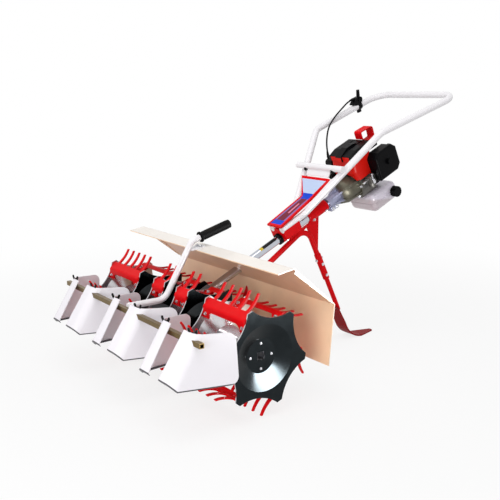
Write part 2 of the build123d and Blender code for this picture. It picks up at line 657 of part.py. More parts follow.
def clutch_housing():
    """Neck, ribbed bell and bolting flange about the tube's axis, with a pinch clamp under the neck."""
    flange = BELL_RADIUS + BELL_FLANGE
    dome = (NECK_RADIUS + 0.7 * (BELL_RADIUS - NECK_RADIUS), BELL_START + 0.35 * (BELL_FULL - BELL_START))
    start, full = (NECK_RADIUS, BELL_START), (BELL_RADIUS, BELL_FULL)
    section = make_face([Polyline((0, BELL_END), (0, TUBE_END), (NECK_RADIUS, TUBE_END), start),
                         ThreePointArc(start, dome, full), Polyline(full, (BELL_RADIUS, BELL_END), (0, BELL_END))])
    housing = revolve(section, Axis.Y) + y_rod(flange, BELL_END - BELL_FLANGE, BELL_END)
    rib = outline((0, BELL_START - BELL_RIB_LEAD), (NECK_RADIUS, BELL_START - BELL_RIB_LEAD), (flange, BELL_FULL),
                  (flange, BELL_END), (0, BELL_END))
    rib = extrude(rib, amount=BELL_RIB_SHEET / 2, both=True)
    for k in range(BELL_RIBS):
        housing += Rot(Y=(k + 0.5) * 360 / BELL_RIBS) * rib
    lug_low = -NECK_RADIUS - CLAMP_LUG_DROP
    housing += block((-CLAMP_LUG_HALF, CLAMP_LUG_HALF), CLAMP_LUG, (lug_low, 0))
    slot = block((-CLAMP_SLOT / 2, CLAMP_SLOT / 2), CLAMP_LUG, (2 * lug_low, -TUBE_RADIUS))
    return ON_TUBE * (housing - slot)


def crankcase():
    """Round case over a sump, with the finned cylinder standing on it."""
    ends = (BELL_END, CRANKCASE_END)
    sump = block((-SUMP_HALF, SUMP_HALF), ends, (-CRANKCASE_DROP, 0))
    sump = fillet(sump.edges().filter_by(Axis.Y).group_by(Axis.Z)[0], SUMP_HALF / 3)
    barrel = (BELL_END + CYLINDER_INSET, CRANKCASE_END - CYLINDER_INSET)
    top = CYLINDER_TOP - SHROUD_WALL - FIT
    case = y_rod(CRANK_RADIUS, *ends) + sump + block((-CYLINDER_HALF, CYLINDER_HALF), barrel, (0, top))
    fin_half = CYLINDER_HALF + FIN_REACH
    fin_ends = (barrel[0] - FIN_REACH, barrel[1] + FIN_REACH)
    for k in range(FINS):
        low = FIN_FIRST + k * FIN_PITCH
        case += block((-fin_half, fin_half), fin_ends, (low, low + FIN_SHEET))
    return ON_TUBE * case


def cylinder_shroud():
    """Moulded cowl round the cylinder, open below and behind, cut away over the bell."""
    nose = outline((SHROUD_FRONT + SHROUD_LEAN, SHROUD_DROP), (SHROUD_FRONT, SHROUD_NOSE),
                   (SHROUD_FRONT + SHROUD_LEAN, CYLINDER_TOP), (CRANKCASE_END, CYLINDER_TOP),
                   (CRANKCASE_END, SHROUD_DROP))
    cowl = across(nose, SHROUD_HALF, Plane.YZ)
    corners = cowl.edges().filter_by(Axis.X, reverse=True)
    corners = corners.filter_by_position(Axis.Y, SHROUD_FRONT - 1, SHROUD_FRONT + SHROUD_LEAN - 1)
    cowl = fillet(corners, SHROUD_CORNER)
    inner = SHROUD_HALF - SHROUD_WALL
    cowl -= block((-inner, inner), (SHROUD_FRONT + SHROUD_LEAN + SHROUD_WALL, CRANKCASE_END),
                  (SHROUD_DROP, CYLINDER_TOP - SHROUD_WALL))
    bell = y_rod(BELL_RADIUS + BELL_FLANGE + BELL_CLEARANCE, BELL_START, CRANKCASE_END)
    return ON_TUBE * (cowl - bell)


def top_cover():
    """Black lid with sloped ends, side vents, two grooves and the raised plug boot in front."""
    low = CYLINDER_TOP + FIT
    length, fall = COVER_SHOULDER
    tail, tail_fall = COVER_TAIL
    side = outline((COVER_FRONT, low), (COVER_FRONT, COVER_TOP - fall), (COVER_FRONT + length, COVER_TOP),
                   (COVER_REAR - tail, COVER_TOP), (COVER_REAR, COVER_TOP - tail_fall), (COVER_REAR, low))
    lid = across(side, SHROUD_HALF, Plane.YZ)
    rim = lid.edges().filter_by(Axis.X, reverse=True).filter_by_position(Axis.Z, low + 1, COVER_TOP + 1)
    lid = fillet(rim, COVER_ROUND)
    inner, outer, depth = COVER_GROOVE
    run = (COVER_FRONT + length, COVER_REAR - tail)
    width, pitch, height = COVER_VENT
    for way in (-1, 1):
        lid -= block(sorted((way * inner, way * outer)), run, (COVER_TOP - depth, COVER_TOP + depth))
        for k in range(COVER_VENTS):
            first = COVER_FRONT + length + k * pitch
            lid -= block(sorted((way * (SHROUD_HALF - depth), way * 2 * SHROUD_HALF)), (first, first + width),
                         (low + COVER_ROUND / 2, low + COVER_ROUND / 2 + height))
    boot = outline((COVER_FRONT - BOOT_PROUD, low), (COVER_FRONT - BOOT_PROUD, COVER_TOP - fall),
                   (COVER_FRONT + length, COVER_TOP + BOOT_PROUD), (COVER_FRONT + 2 * length, COVER_TOP + BOOT_PROUD),
                   (COVER_FRONT + 3 * length, COVER_TOP - BOOT_PROUD), (COVER_FRONT + 3 * length, low))
    return ON_TUBE * (lid + across(boot, BOOT_HALF, Plane.YZ))


def engine_hook():
    """Folded strap that stands on the lid and comes down behind it."""
    top = COVER_TOP + HOOK_RISE
    low = COVER_TOP - HOOK_DROP
    path = FilletPolyline((HOOK_FRONT, COVER_TOP), (HOOK_FRONT, top), (HOOK_REAR, top - HOOK_SHEET),
                          (HOOK_REAR - HOOK_SHEET, low), (COVER_REAR, low),
                          radius=[2 * HOOK_SHEET, 3 * HOOK_SHEET, 2 * HOOK_SHEET])
    return ON_TUBE * across(band(Wire(path.edges()), HOOK_SHEET, Side.RIGHT), HOOK_HALF, Plane.YZ)


def starter_housing():
    """Recoil drum with a ring of slots and the pull grip on top."""
    end = CRANKCASE_END + STARTER_DEPTH
    drum = y_rod(STARTER_RADIUS, CRANKCASE_END, end)
    drum = fillet(drum.faces().sort_by(Axis.Y)[-1].edges(), STARTER_ROUND)
    width, inner, outer = STARTER_SLOT
    for k in range(STARTER_SLOTS):
        slot = block((-width / 2, width / 2), (end - width, end + width), (inner, outer))
        drum -= Rot(Y=k * 360 / STARTER_SLOTS) * slot
    pull = x_rod(PULL_RADIUS, -PULL_HALF, PULL_HALF)
    pull = fillet(pull.edges(), PULL_RADIUS / 2)
    return ON_TUBE * (drum + Pos(0, end - 2 * STARTER_ROUND, STARTER_RADIUS) * pull)


def filter_side(lap):
    """The air filter's outline, grown by a lap."""
    front, rear, top, cut = FILTER_FRONT - lap, FILTER_REAR + lap, FILTER_TOP + lap, FILTER_CUT
    return outline((front, -lap), (front, top - cut), (front + cut, top), (rear - cut, top), (rear, top - cut),
                   (rear, cut - lap), (rear - cut, -lap))


def air_filter():
    """Filter box with a lapped lid and its knob."""
    split = FILTER_FACE - FILTER_LID
    case = extrude(Plane.YZ.offset(SHROUD_HALF + FIT) * filter_side(0), amount=split - SHROUD_HALF - FIT)
    lid = extrude(Plane.YZ.offset(split) * filter_side(FILTER_LAP), amount=FILTER_LID)
    lid = fillet(lid.faces().sort_by(Axis.X)[-1].edges(), FILTER_ROUND)
    radius, length = FILTER_KNOB
    knob = x_rod(radius, FILTER_FACE, FILTER_FACE + length)
    knob = Pos(0, (FILTER_FRONT + FILTER_REAR) / 2, FILTER_TOP / 2) * knob
    return ON_TUBE * (case + lid + knob)


def muffler():
    """Pressed box with slots in its face and a short outlet in front."""
    box = block((-MUFFLER_FACE, -SHROUD_HALF - FIT), (MUFFLER_FRONT, MUFFLER_REAR), (MUFFLER_LOW, MUFFLER_HIGH))
    box = fillet(box.edges().filter_by(Axis.X), MUFFLER_ROUND)
    width, pitch, depth = MUFFLER_SLOT
    for k in range(MUFFLER_SLOTS):
        first = MUFFLER_FRONT + 2 * MUFFLER_ROUND + k * pitch
        box -= block((-MUFFLER_FACE, -MUFFLER_FACE + depth), (first, first + width),
                     (MUFFLER_LOW + MUFFLER_ROUND, MUFFLER_HIGH - MUFFLER_ROUND))
    outlet = y_rod(OUTLET_RADIUS, MUFFLER_FRONT - OUTLET_LENGTH, MUFFLER_FRONT + OUTLET_LENGTH)
    outlet -= y_rod(OUTLET_RADIUS / 2, MUFFLER_FRONT - OUTLET_LENGTH, MUFFLER_FRONT)
    middle = -(MUFFLER_FACE + SHROUD_HALF) / 2
    return ON_TUBE * (box + Pos(middle, 0, MUFFLER_LOW + OUTLET_RADIUS + MUFFLER_ROUND / 2) * outlet)


def tank_height():
    return (TANK_BOTTOM - CRANKCASE_DROP) / 2


def fuel_tank():
    """Blow-moulded tank with its seam round the middle and a neck for the cap."""
    tank = block((-TANK_HALF, TANK_HALF), (TANK_FRONT, TANK_REAR), (TANK_BOTTOM, -CRANKCASE_DROP - FIT))
    tank = fillet(tank.edges(), TANK_ROUND)
    proud, height = TANK_SEAM
    half = TANK_HALF + proud
    seam = block((-half, half), (TANK_FRONT - proud, TANK_REAR + proud),
                 (tank_height() - height / 2, tank_height() + height / 2))
    return ON_TUBE * (tank + fillet(seam.edges().filter_by(Axis.Z), TANK_ROUND))


def fuel_cap():
    """Ribbed screw cap on the tank's side."""
    start = TANK_HALF + TANK_SEAM[0] + FIT
    cap = x_rod(CAP_RADIUS, start, start + CAP_DEPTH)
    cap = fillet(cap.faces().sort_by(Axis.X)[-1].edges(), CAP_NOTCH)
    for k in range(CAP_NOTCHES):
        y, z = polar(CAP_RADIUS, k * 360 / CAP_NOTCHES)
        cap -= Pos(0, y, z) * x_rod(CAP_NOTCH, start, start + CAP_DEPTH)
    return ON_TUBE * Pos(0, TANK_REAR - CAP_INSET, tank_height()) * cap


def throttle_plane():
    """On the left rail's axis, with Y along the rail and Z away from the ground."""
    kink, rear = rail_points(-1)[2:]
    along = (rear - kink).normalized()
    outward = (Vector(0, 0, 1) - along * along.Z).normalized()
    return Plane(kink + (rear - kink) * THROTTLE_AT, x_dir=along.cross(outward), z_dir=outward)


def throttle_lever():
    """Clamp ring round the rail, wedge body, pivot drum and thumb lever."""
    ring = RAIL_RADIUS + THROTTLE_RING
    half = THROTTLE_RING_HALF
    lug_low = -ring - THROTTLE_RING_HALF
    clamp = y_rod(ring, -half, half) + block((-THROTTLE_RING, THROTTLE_RING), (-half, half), (lug_low, 0))
    front, rear, height = THROTTLE_BODY
    top = RAIL_RADIUS + height
    wedge = outline((front, ring), (front, ring + THROTTLE_RING), (-half, top), (half, top), (rear, ring), (0, 0))
    body = clamp + fillet(across(wedge, THROTTLE_HALF, Plane.YZ).edges().filter_by(Axis.X), THROTTLE_RING / 2)
    place, radius = THROTTLE_DRUM
    pivot = RAIL_RADIUS + height / 2
    body += Pos(0, place, pivot) * x_rod(radius, -THROTTLE_HALF - 2, THROTTLE_HALF + 2)
    reach = RAIL_RADIUS + THROTTLE_REACH
    lever = outline((place - radius / 2, pivot), (place + radius / 2, pivot), (place + radius, reach),
                    (place + radius / 3, reach))
    body += across(lever, THROTTLE_HALF / 2, Plane.YZ)
    body -= y_rod(RAIL_RADIUS + FIT, 2 * front, 2 * rear)
    return throttle_plane() * body


CABLE = ((-186, 883, 697), (-176, 850, 690), (-164, 806, 664), (-154, 760, 634), (-146, 722, 598),
         (-132, 700, 556), (-112, 684, 518), (-90, 672, 490))


def throttle_cable():
    points = [side_point(y, rise, x) for x, y, rise in CABLE]
    radii = []
    for a, b, c in zip(points, points[1:], points[2:]):
        turn = (b - a).get_angle(c - b)
        shorter = min((b - a).length, (c - b).length)
        radii.append(0.45 * shorter / tan(radians(turn / 2)))
    return tube_along(FilletPolyline(*points, radius=radii), CABLE_RADIUS)


# Assembly

nodes = {}
RIGHT_DISC = dished_disc()
LEFT_DISC = mirror(RIGHT_DISC, about=Plane.YZ)
FLAT_RIGHT = flat_disc()
FLAT_LEFT = mirror(FLAT_RIGHT, about=Plane.YZ)
INSIDE = ROTOR_HALF - DISC_SHEET
SPLIT_FIRST = INNER_DISC_FACE + DISC_SHEET
SPLIT_MIDDLE = (SPLIT_FIRST + INSIDE) / 2
SPLIT_HALF = (INSIDE - SPLIT_FIRST) / 2

# rotor name, its middle, comb half span, tine places, discs as (solid, outer face)
ROTORS = (
    ("left", -ROTOR_PITCH, INSIDE, (-2, -1, 0, 1, 2), ((LEFT_DISC, -ROTOR_HALF), (RIGHT_DISC, ROTOR_HALF))),
    ("middle_left", -SPLIT_MIDDLE, SPLIT_HALF, (-0.5, 0.5),
     ((LEFT_DISC, SPLIT_MIDDLE - ROTOR_HALF), (FLAT_RIGHT, SPLIT_MIDDLE - INNER_DISC_FACE))),
    ("middle_right", SPLIT_MIDDLE, SPLIT_HALF, (-0.5, 0.5),
     ((FLAT_LEFT, INNER_DISC_FACE - SPLIT_MIDDLE), (RIGHT_DISC, ROTOR_HALF - SPLIT_MIDDLE))),
    ("right", ROTOR_PITCH, INSIDE, (-2, -1, 0, 1, 2), ((LEFT_DISC, -ROTOR_HALF), (RIGHT_DISC, ROTOR_HALF))),
)
sleeves = [
    hub_sleeve(-ROTOR_PITCH - HUB_INSIDE, -ROTOR_PITCH + HUB_INSIDE),
    hub_sleeve(-HUB_INSIDE, -SPLIT_FIRST),
    hub_sleeve(SPLIT_FIRST, HUB_INSIDE),
    hub_sleeve(ROTOR_PITCH - HUB_INSIDE, ROTOR_PITCH + HUB_INSIDE),
]
nodes["axle"] = [ON_AXLE * axle()]
nodes["hub_sleeves"] = [ON_AXLE * sleeve for sleeve in sleeves]
for name, middle, half_span, tines, discs in ROTORS:
    nodes["discs_" + name] = [ON_AXLE * Pos(middle + face, 0, 0) * disc for disc, face in discs]
    nodes["combs_" + name] = [ON_AXLE * Pos(middle, 0, 0) * one for one in comb_ring(half_span, tines)]

nodes["gearbox"] = [gearbox()]
nodes["drive_tube"] = [ON_TUBE * y_rod(TUBE_RADIUS, NECK_END, TUBE_END)]
nodes["tube_ring"] = [collar(RING)]
nodes["lower_collar"] = [rail_clamp()]
nodes["upper_collar"] = [collar(UPPER_COLLAR)]
nodes["frame_tube"] = [frame_tube()]
nodes["stand_socket"] = [stand_socket()]
nodes["stand_leg"] = [stand_leg()]
nodes["stand_foot"] = [stand_foot()]
nodes["mud_guard"] = [mud_guard()]
nodes["guard_bracket"] = [guard_bracket()]
nodes["lift_handle"] = [lift_handle()]
nodes["lift_grip"] = [lift_grip()]
nodes["float_bar"] = [float_bar()]
SHIELD = float_shield()
for row, middle in (("left", -ROTOR_PITCH), ("middle", 0.0), ("right", ROTOR_PITCH)):
    nodes["float_" + row + "_a"] = [Pos(middle, 0, 0) * mirror(SHIELD, about=Plane.YZ)]
    nodes["float_" + row + "_b"] = [Pos(middle, 0, 0) * SHIELD]
nodes["handle_rails"] = [handle_rails()]
nodes["handle_crossbar"] = [crossbar()]
nodes["label_panel"] = [label_panel()]
nodes["throttle_lever"] = [throttle_lever()]
nodes["throttle_cable"] = [throttle_cable()]
nodes["clutch_housing"] = [clutch_housing()]
nodes["crankcase"] = [crankcase()]
nodes["cylinder_shroud"] = [cylinder_shroud()]
nodes["top_cover"] = [top_cover()]
nodes["engine_hook"] = [engine_hook()]
nodes["starter_housing"] = [starter_housing()]
nodes["air_filter"] = [air_filter()]
nodes["muffler"] = [muffler()]
nodes["fuel_tank"] = [fuel_tank()]
nodes["fuel_cap"] = [fuel_cap()]

os.makedirs("parts", exist_ok=True)
TO_ORIGIN = Pos(0, -ORIGIN_Y, 0)
for name, pieces in nodes.items():
    solids = [solid for piece in pieces for solid in (TO_ORIGIN * piece).solids()]
    export_step(solids[0] if len(solids) == 1 else Compound(solids), "parts/" + name + ".step")
print("origin lies", round(ORIGIN_Y, 3), "behind the axle;", len(nodes), "nodes")
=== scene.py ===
# %% [markdown]
# A three-row paddy weeder: tined rotors under white float shields, a cream mud guard, and a long
# drive tube up to the engine and the looped handle. The solids come packed, already in their places,
# so this lesson only dresses them: finishes made of nodes, fasteners, a cable, a label and studio light.

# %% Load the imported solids
import json
import math

import bmesh
import bpy
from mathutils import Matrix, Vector


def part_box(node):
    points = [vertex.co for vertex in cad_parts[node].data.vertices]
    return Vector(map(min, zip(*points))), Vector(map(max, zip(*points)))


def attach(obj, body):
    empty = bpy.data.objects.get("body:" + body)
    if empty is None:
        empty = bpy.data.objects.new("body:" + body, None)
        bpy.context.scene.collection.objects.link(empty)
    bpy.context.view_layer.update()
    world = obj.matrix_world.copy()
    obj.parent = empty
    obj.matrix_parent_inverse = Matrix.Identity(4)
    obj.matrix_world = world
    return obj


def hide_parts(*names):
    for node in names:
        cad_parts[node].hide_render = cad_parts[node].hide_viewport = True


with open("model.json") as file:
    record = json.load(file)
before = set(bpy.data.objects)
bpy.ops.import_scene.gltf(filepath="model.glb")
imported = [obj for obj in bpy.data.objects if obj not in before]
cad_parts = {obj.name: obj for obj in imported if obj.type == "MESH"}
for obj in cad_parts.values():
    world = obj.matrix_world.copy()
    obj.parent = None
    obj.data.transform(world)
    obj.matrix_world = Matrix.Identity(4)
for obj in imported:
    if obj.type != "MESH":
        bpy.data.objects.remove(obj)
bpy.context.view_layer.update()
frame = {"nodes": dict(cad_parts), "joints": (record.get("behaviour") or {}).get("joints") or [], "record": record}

scene = bpy.context.scene

# %% [markdown]
# All places are given as on a workshop drawing: millimetres from the rotor axle, or along the sloping
# drive tube. The axle's own place is read from the rotor's joint, so nothing has to be fitted by eye.

# %% Drawing helpers
MM = 0.001
AXLE = Vector(frame["joints"][0]["pos_m"])
ACROSS, BEHIND, UP = Vector((1, 0, 0)), Vector((0, 1, 0)), Vector((0, 0, 1))
TUBE_SLOPE, TUBE_LIFT = math.radians(25.5), 50.0
ALONG_TUBE = Vector((0, math.cos(TUBE_SLOPE), math.sin(TUBE_SLOPE)))
ABOVE_TUBE = Vector((0, -math.sin(TUBE_SLOPE), math.cos(TUBE_SLOPE)))


def at(x, y, rise):
    """A point given across, behind and above the axle."""
    return AXLE + Vector((x, y, rise)) * MM


def on_tube(x, station, height):
    """A point given by its station along the drive tube and its height above the tube's middle."""
    return AXLE + (ACROSS * x + ALONG_TUBE * station + ABOVE_TUBE * (height + TUBE_LIFT)) * MM


print("axle at", [round(v, 4) for v in AXLE])

# %% [markdown]
# The camera stands ahead of the machine on its right, a little above the handle. Its place isn't set by
# eye: it was worked out from pairs of points that mirror each other on the machine.

# %% Camera
camera = bpy.data.objects.new("camera", bpy.data.cameras.new("camera"))
camera.data.sensor_width = 36.0
camera.data.lens = 54.37
camera.location = AXLE + Vector((1.97546, -1.21831, 0.71311))
camera.rotation_euler = (math.radians(78.405), 0.0, math.radians(53.43))
scene.collection.objects.link(camera)
scene.camera = camera
print("camera at", [round(v, 3) for v in camera.location])

# %% [markdown]
# Short helpers keep the node work readable: one adds a node with its settings, one does a sum, and one
# measures along an axis. Colours are written as a paint chart gives them and turned to linear light here.

# %% Node helpers
def srgb(red, green, blue):
    """A paint chart colour, 0 to 255, as linear light."""
    parts = [v / 255 for v in (red, green, blue)]
    return tuple(v / 12.92 if v <= 0.04045 else ((v + 0.055) / 1.055) ** 2.4 for v in parts) + (1.0,)


def feed(tree, socket, value):
    """Links a socket to another, or sets it to a plain value."""
    if isinstance(value, bpy.types.NodeSocket):
        tree.links.new(value, socket)
    else:
        socket.default_value = value


def open_socket(sockets, title):
    """The socket in use of that name or identifier, as some nodes have several of one name."""
    return next(s for s in sockets if title in (s.name, s.identifier) and s.enabled)


def node(tree, kind, inputs=None, **settings):
    """A new node with its settings, and its inputs fed from plain values or other sockets."""
    made = tree.nodes.new(kind)
    for name, value in settings.items():
        setattr(made, name, value)
    for title, value in (inputs or {}).items():
        feed(tree, open_socket(made.inputs, title), value)
    return made


def calc(tree, operation, *values):
    """The result of a sum over plain values or other sockets."""
    made = node(tree, "ShaderNodeMath", operation=operation)
    for socket, value in zip(made.inputs, values):
        feed(tree, socket, value)
    return made.outputs[0]


def pair(tree, operation, first, second):
    """The results of a sum over two vectors."""
    sides = {"Vector": first, "Vector_001": second}
    return node(tree, "ShaderNodeVectorMath", sides, operation=operation).outputs


def measured(tree, output, axis, start=(0.0, 0.0, 0.0)):
    """How far the piece's own point or normal reaches along an axis, counted from a start."""
    offset = pair(tree, "SUBTRACT", node(tree, "ShaderNodeTexCoord").outputs[output], start)["Vector"]
    return pair(tree, "DOT_PRODUCT", offset, axis)["Value"]


print("a middle grey in linear light:", round(srgb(128, 128, 128)[0], 3))

# %% [markdown]
# Three more helpers are for looks: a mix of two colours, a soft step from one value to another, and a
# cloudy noise. Nearly every finish below is a chain of these three.

# %% Look helpers
def blend_colour(tree, share, first, second):
    """A mix of two colours: the first where the share is none, the second where it is one."""
    sides = {"Factor_Float": share, "A_Color": first, "B_Color": second}
    return open_socket(node(tree, "ShaderNodeMix", sides, data_type="RGBA").outputs, "Result_Color")


def ramp(tree, value, low, high, to_low=0.0, to_high=1.0):
    """Carries a value smoothly from one range to another."""
    ends = {"Value": value, "From Min": low, "From Max": high, "To Min": to_low, "To Max": to_high}
    return node(tree, "ShaderNodeMapRange", ends, interpolation_type="SMOOTHSTEP").outputs["Result"]


def noise(tree, scale, detail=3.0):
    """A cloudy value over the piece's own coordinates."""
    place = node(tree, "ShaderNodeTexCoord").outputs["Object"]
    inputs = {"Vector": place, "Scale": scale, "Detail": detail}
    return node(tree, "ShaderNodeTexNoise", inputs).outputs["Fac"]


# %% [markdown]
# Three effects turn up on nearly every surface, so each is a node group with named inputs. The first
# is the skin of a sprayed or moulded surface: a fine peel for the bump and a slow mottle for the colour.

# %% Surface skin
def new_group(name, inputs, outputs):
    """An empty group with named inputs, their first values, and named outputs."""
    group = bpy.data.node_groups.new(name, "ShaderNodeTree")
    for title, value in inputs.items():
        socket = group.interface.new_socket(title, in_out="INPUT", socket_type="NodeSocketFloat")
        socket.default_value = value
    for title in outputs:
        group.interface.new_socket(title, in_out="OUTPUT", socket_type="NodeSocketFloat")
    return group, node(group, "NodeGroupInput"), node(group, "NodeGroupOutput")


skin, start, end = new_group("surface_skin", {"Peel Scale": 900.0, "Mottle Scale": 30.0}, ("Peel", "Mottle"))
for title, detail in (("Peel", 2.0), ("Mottle", 5.0)):
    skin.links.new(noise(skin, start.outputs[title + " Scale"], detail), end.inputs[title])
print("group:", skin.name)

# %% [markdown]
# The second effect finds edges, where paint rubs thin, by comparing a rounded normal with the real one.
# Painting the edges by hand would tie the wear to one mesh, and this works on every piece. On the star
# discs the same mask lays in a painted highlight along the edges.

# %% Rubbed edges and painted edge highlight
edges, start, end = new_group("edge_wear_and_highlight", {"Radius": 0.0012, "Break Up": 120.0}, ("Mask",))
rounded = node(edges, "ShaderNodeBevel", {"Radius": start.outputs["Radius"]}, samples=4).outputs["Normal"]
real = node(edges, "ShaderNodeNewGeometry").outputs["Normal"]
bend = ramp(edges, pair(edges, "DOT_PRODUCT", rounded, real)["Value"], 0.92, 0.72)
patches = ramp(edges, noise(edges, start.outputs["Break Up"]), 0.38, 0.58)
edges.links.new(calc(edges, "MULTIPLY", bend, patches), end.inputs["Mask"])
print("group:", edges.name)

# %% [markdown]
# The third effect lets dust settle in patches on faces that look up.

# %% Settled dust
dust, start, end = new_group("settled_dust", {"Amount": 0.2, "Patch Scale": 14.0}, ("Mask",))
upward = ramp(dust, measured(dust, "Normal", UP), 0.3, 0.95)
cloud = ramp(dust, noise(dust, start.outputs["Patch Scale"], 6.0), 0.35, 0.75)
layer = calc(dust, "MULTIPLY", upward, cloud)
dust.links.new(calc(dust, "MULTIPLY", layer, start.outputs["Amount"]), end.inputs["Mask"])
print("group:", dust.name)

# %% [markdown]
# A finish starts from one Principled shader. Its colour gets the slow mottle, the rubbed edges and
# the dust in that order, its roughness wanders with the mottle, and its bump is the fine peel. Values
# that are the same all over stay on the shader's own sockets.

# %% Finish maker
DUST_COLOUR = srgb(176, 160, 138)


def place_group(tree, group, **values):
    """Places a group, with the values that differ from its first ones."""
    inputs = {name.replace("_", " "): value for name, value in values.items()}
    return node(tree, "ShaderNodeGroup", inputs, node_tree=group)


def new_finish(name, metallic=0.0, shine=0.5):
    """shine is the share of light that a painted or moulded face mirrors, 0.5 for a usual varnish."""
    finish = bpy.data.materials.new(name)
    finish.use_nodes = True
    shader = finish.node_tree.nodes["Principled BSDF"]
    shader.inputs["Metallic"].default_value = metallic
    shader.inputs["Specular IOR Level"].default_value = shine
    return finish, finish.node_tree, shader


def shades(tree, colour, spread, mottle):
    """A colour, or a colour socket, that wanders a little darker and lighter with the mottle."""
    value = ramp(tree, mottle, 0.0, 1.0, 1 - spread, 1 + spread)
    return node(tree, "ShaderNodeHueSaturation", {"Color": colour, "Value": value}).outputs["Color"]


def dress(tree, shader, colour, roughness, peel=900.0, peel_height=0.00004, peel_strength=0.6,
          spread=0.06, mottle=30.0, wear=None, dusty=0.15, rough_spread=0.10):
    """Wires skin, edge wear and dust into a shader whose base colour is a value or a socket."""
    surface = place_group(tree, skin, Peel_Scale=peel, Mottle_Scale=mottle)
    if not isinstance(colour, bpy.types.NodeSocket):
        colour = shades(tree, colour, spread, surface.outputs["Mottle"])
    if wear:
        colour = blend_colour(tree, place_group(tree, edges).outputs["Mask"], colour, wear)
    if dusty:
        film = place_group(tree, dust, Amount=dusty)
        colour = blend_colour(tree, film.outputs["Mask"], colour, DUST_COLOUR)
    rough = calc(tree, "MULTIPLY_ADD", surface.outputs["Mottle"], rough_spread, roughness - rough_spread / 2)
    bump = node(tree, "ShaderNodeBump", {"Strength": peel_strength, "Distance": peel_height,
                                         "Height": surface.outputs["Peel"]})
    for title, value in (("Base Color", colour), ("Roughness", rough), ("Normal", bump.outputs["Normal"])):
        tree.links.new(value, shader.inputs[title])


print("dust colour", [round(v, 3) for v in DUST_COLOUR])

# %% [markdown]
# Most pieces are one paint, metal or moulding all over. A node tree for each could be written out, but
# they differ only in a few values, so a table holds those and one loop makes the finishes.

# %% Plain finishes
# name, colour, roughness, metallic, shine, further looks
FINISHES = (
    ("red_enamel", srgb(216, 4, 14), 0.38, 0.0, 0.06, dict(wear=srgb(228, 44, 52), dusty=0.02)),
    # the stand foot's darker red is painted shade on its downward-facing front, with edge wear as well
    ("foot_enamel", srgb(134, 6, 12), 0.42, 0.0, 0.06, dict(wear=srgb(196, 30, 36), spread=0.2, dusty=0.02)),
    ("white_enamel", srgb(232, 230, 233), 0.32, 0.0, 0.35,
     dict(dusty=0.0, spread=0.01, peel_height=0.000005)),
    ("yellow_zinc", srgb(114, 95, 58), 0.34, 1.0, 0.5, dict(spread=0.35, mottle=45.0, dusty=0.05)),
    ("axle_steel", srgb(120, 120, 122), 0.36, 1.0, 0.5, dict(spread=0.25, mottle=60.0, dusty=0.05)),
    ("chrome_tube", srgb(188, 191, 199), 0.10, 1.0, 0.5, dict(spread=0.03, dusty=0.0, rough_spread=0.06)),
    ("cast_alloy", srgb(100, 98, 94), 0.46, 0.6, 0.3,
     dict(peel=420.0, peel_height=0.00018, spread=0.25, mottle=80.0, wear=srgb(146, 145, 146), dusty=0.03)),
    ("gear_case", srgb(86, 88, 92), 0.48, 0.0, 0.3,
     dict(peel=420.0, peel_height=0.0002, spread=0.15, wear=srgb(140, 140, 142), dusty=0.15)),
    ("black_plastic", srgb(6, 6, 8), 0.36, 0.0, 0.06,
     dict(peel=700.0, peel_height=0.00006, spread=0.2, wear=srgb(24, 25, 28), dusty=0.01)),
    ("red_plastic", srgb(222, 26, 16), 0.34, 0.0, 0.12, dict(wear=srgb(232, 68, 56), dusty=0.02)),
    ("grip_rubber", srgb(9, 9, 10), 0.55, 0.0, 0.08, dict(peel=1400.0, peel_height=0.00008, dusty=0.03)),
    ("muffler_steel", srgb(15, 14, 14), 0.46, 0.0, 0.1,
     dict(peel=500.0, spread=0.3, wear=srgb(48, 44, 42), dusty=0.03)),
    ("bolt_zinc", srgb(206, 206, 210), 0.26, 1.0, 0.5, dict(spread=0.15, mottle=200.0, dusty=0.03)),
    ("bolt_black", srgb(13, 12, 12), 0.5, 0.0, 0.1, dict(spread=0.2, mottle=200.0, dusty=0.02)),
)
finishes = {}
for name, colour, roughness, metallic, shine, look in FINISHES:
    finishes[name], tree, shader = new_finish(name, metallic, shine)
    dress(tree, shader, colour, roughness, **look)
print("plain finishes:", ", ".join(finishes))

# %% [markdown]
# The guard is one folded sheet, cream on the weather side and tan on the side that faces the rotors,
# where it turns a darker tan under the slope as painted shade. Two sheets of faces would do it too, but
# the object's own normal already tells the two sides apart, whatever the camera does.

# %% Cream guard, tan inside
CREAM, RUBBED_CREAM = srgb(236, 230, 223), srgb(250, 244, 236)
TAN, SHADED_TAN = srgb(250, 216, 178), srgb(216, 172, 136)
TO_WEATHER = (0.0, 0.6, 0.8)
finishes["cream_sheet"], tree, shader = new_finish("cream_sheet")
weather_side = ramp(tree, measured(tree, "Normal", TO_WEATHER), -0.05, 0.05)
# faces that look down under the slope get a darker tan: painted shade
under_slope_shade = ramp(tree, measured(tree, "Normal", UP), -0.35, -0.6)
streak = place_group(tree, skin, Peel_Scale=200.0, Mottle_Scale=9.0).outputs["Mottle"]
inside = shades(tree, blend_colour(tree, under_slope_shade, TAN, SHADED_TAN), 0.12, streak)
outside = shades(tree, CREAM, 0.03, streak)
shader.inputs["Coat Weight"].default_value = 0.1
dress(tree, shader, blend_colour(tree, weather_side, inside, outside), 0.42, dusty=0.06, wear=RUBBED_CREAM)
print("guard sheet: two sides told apart by the normal")
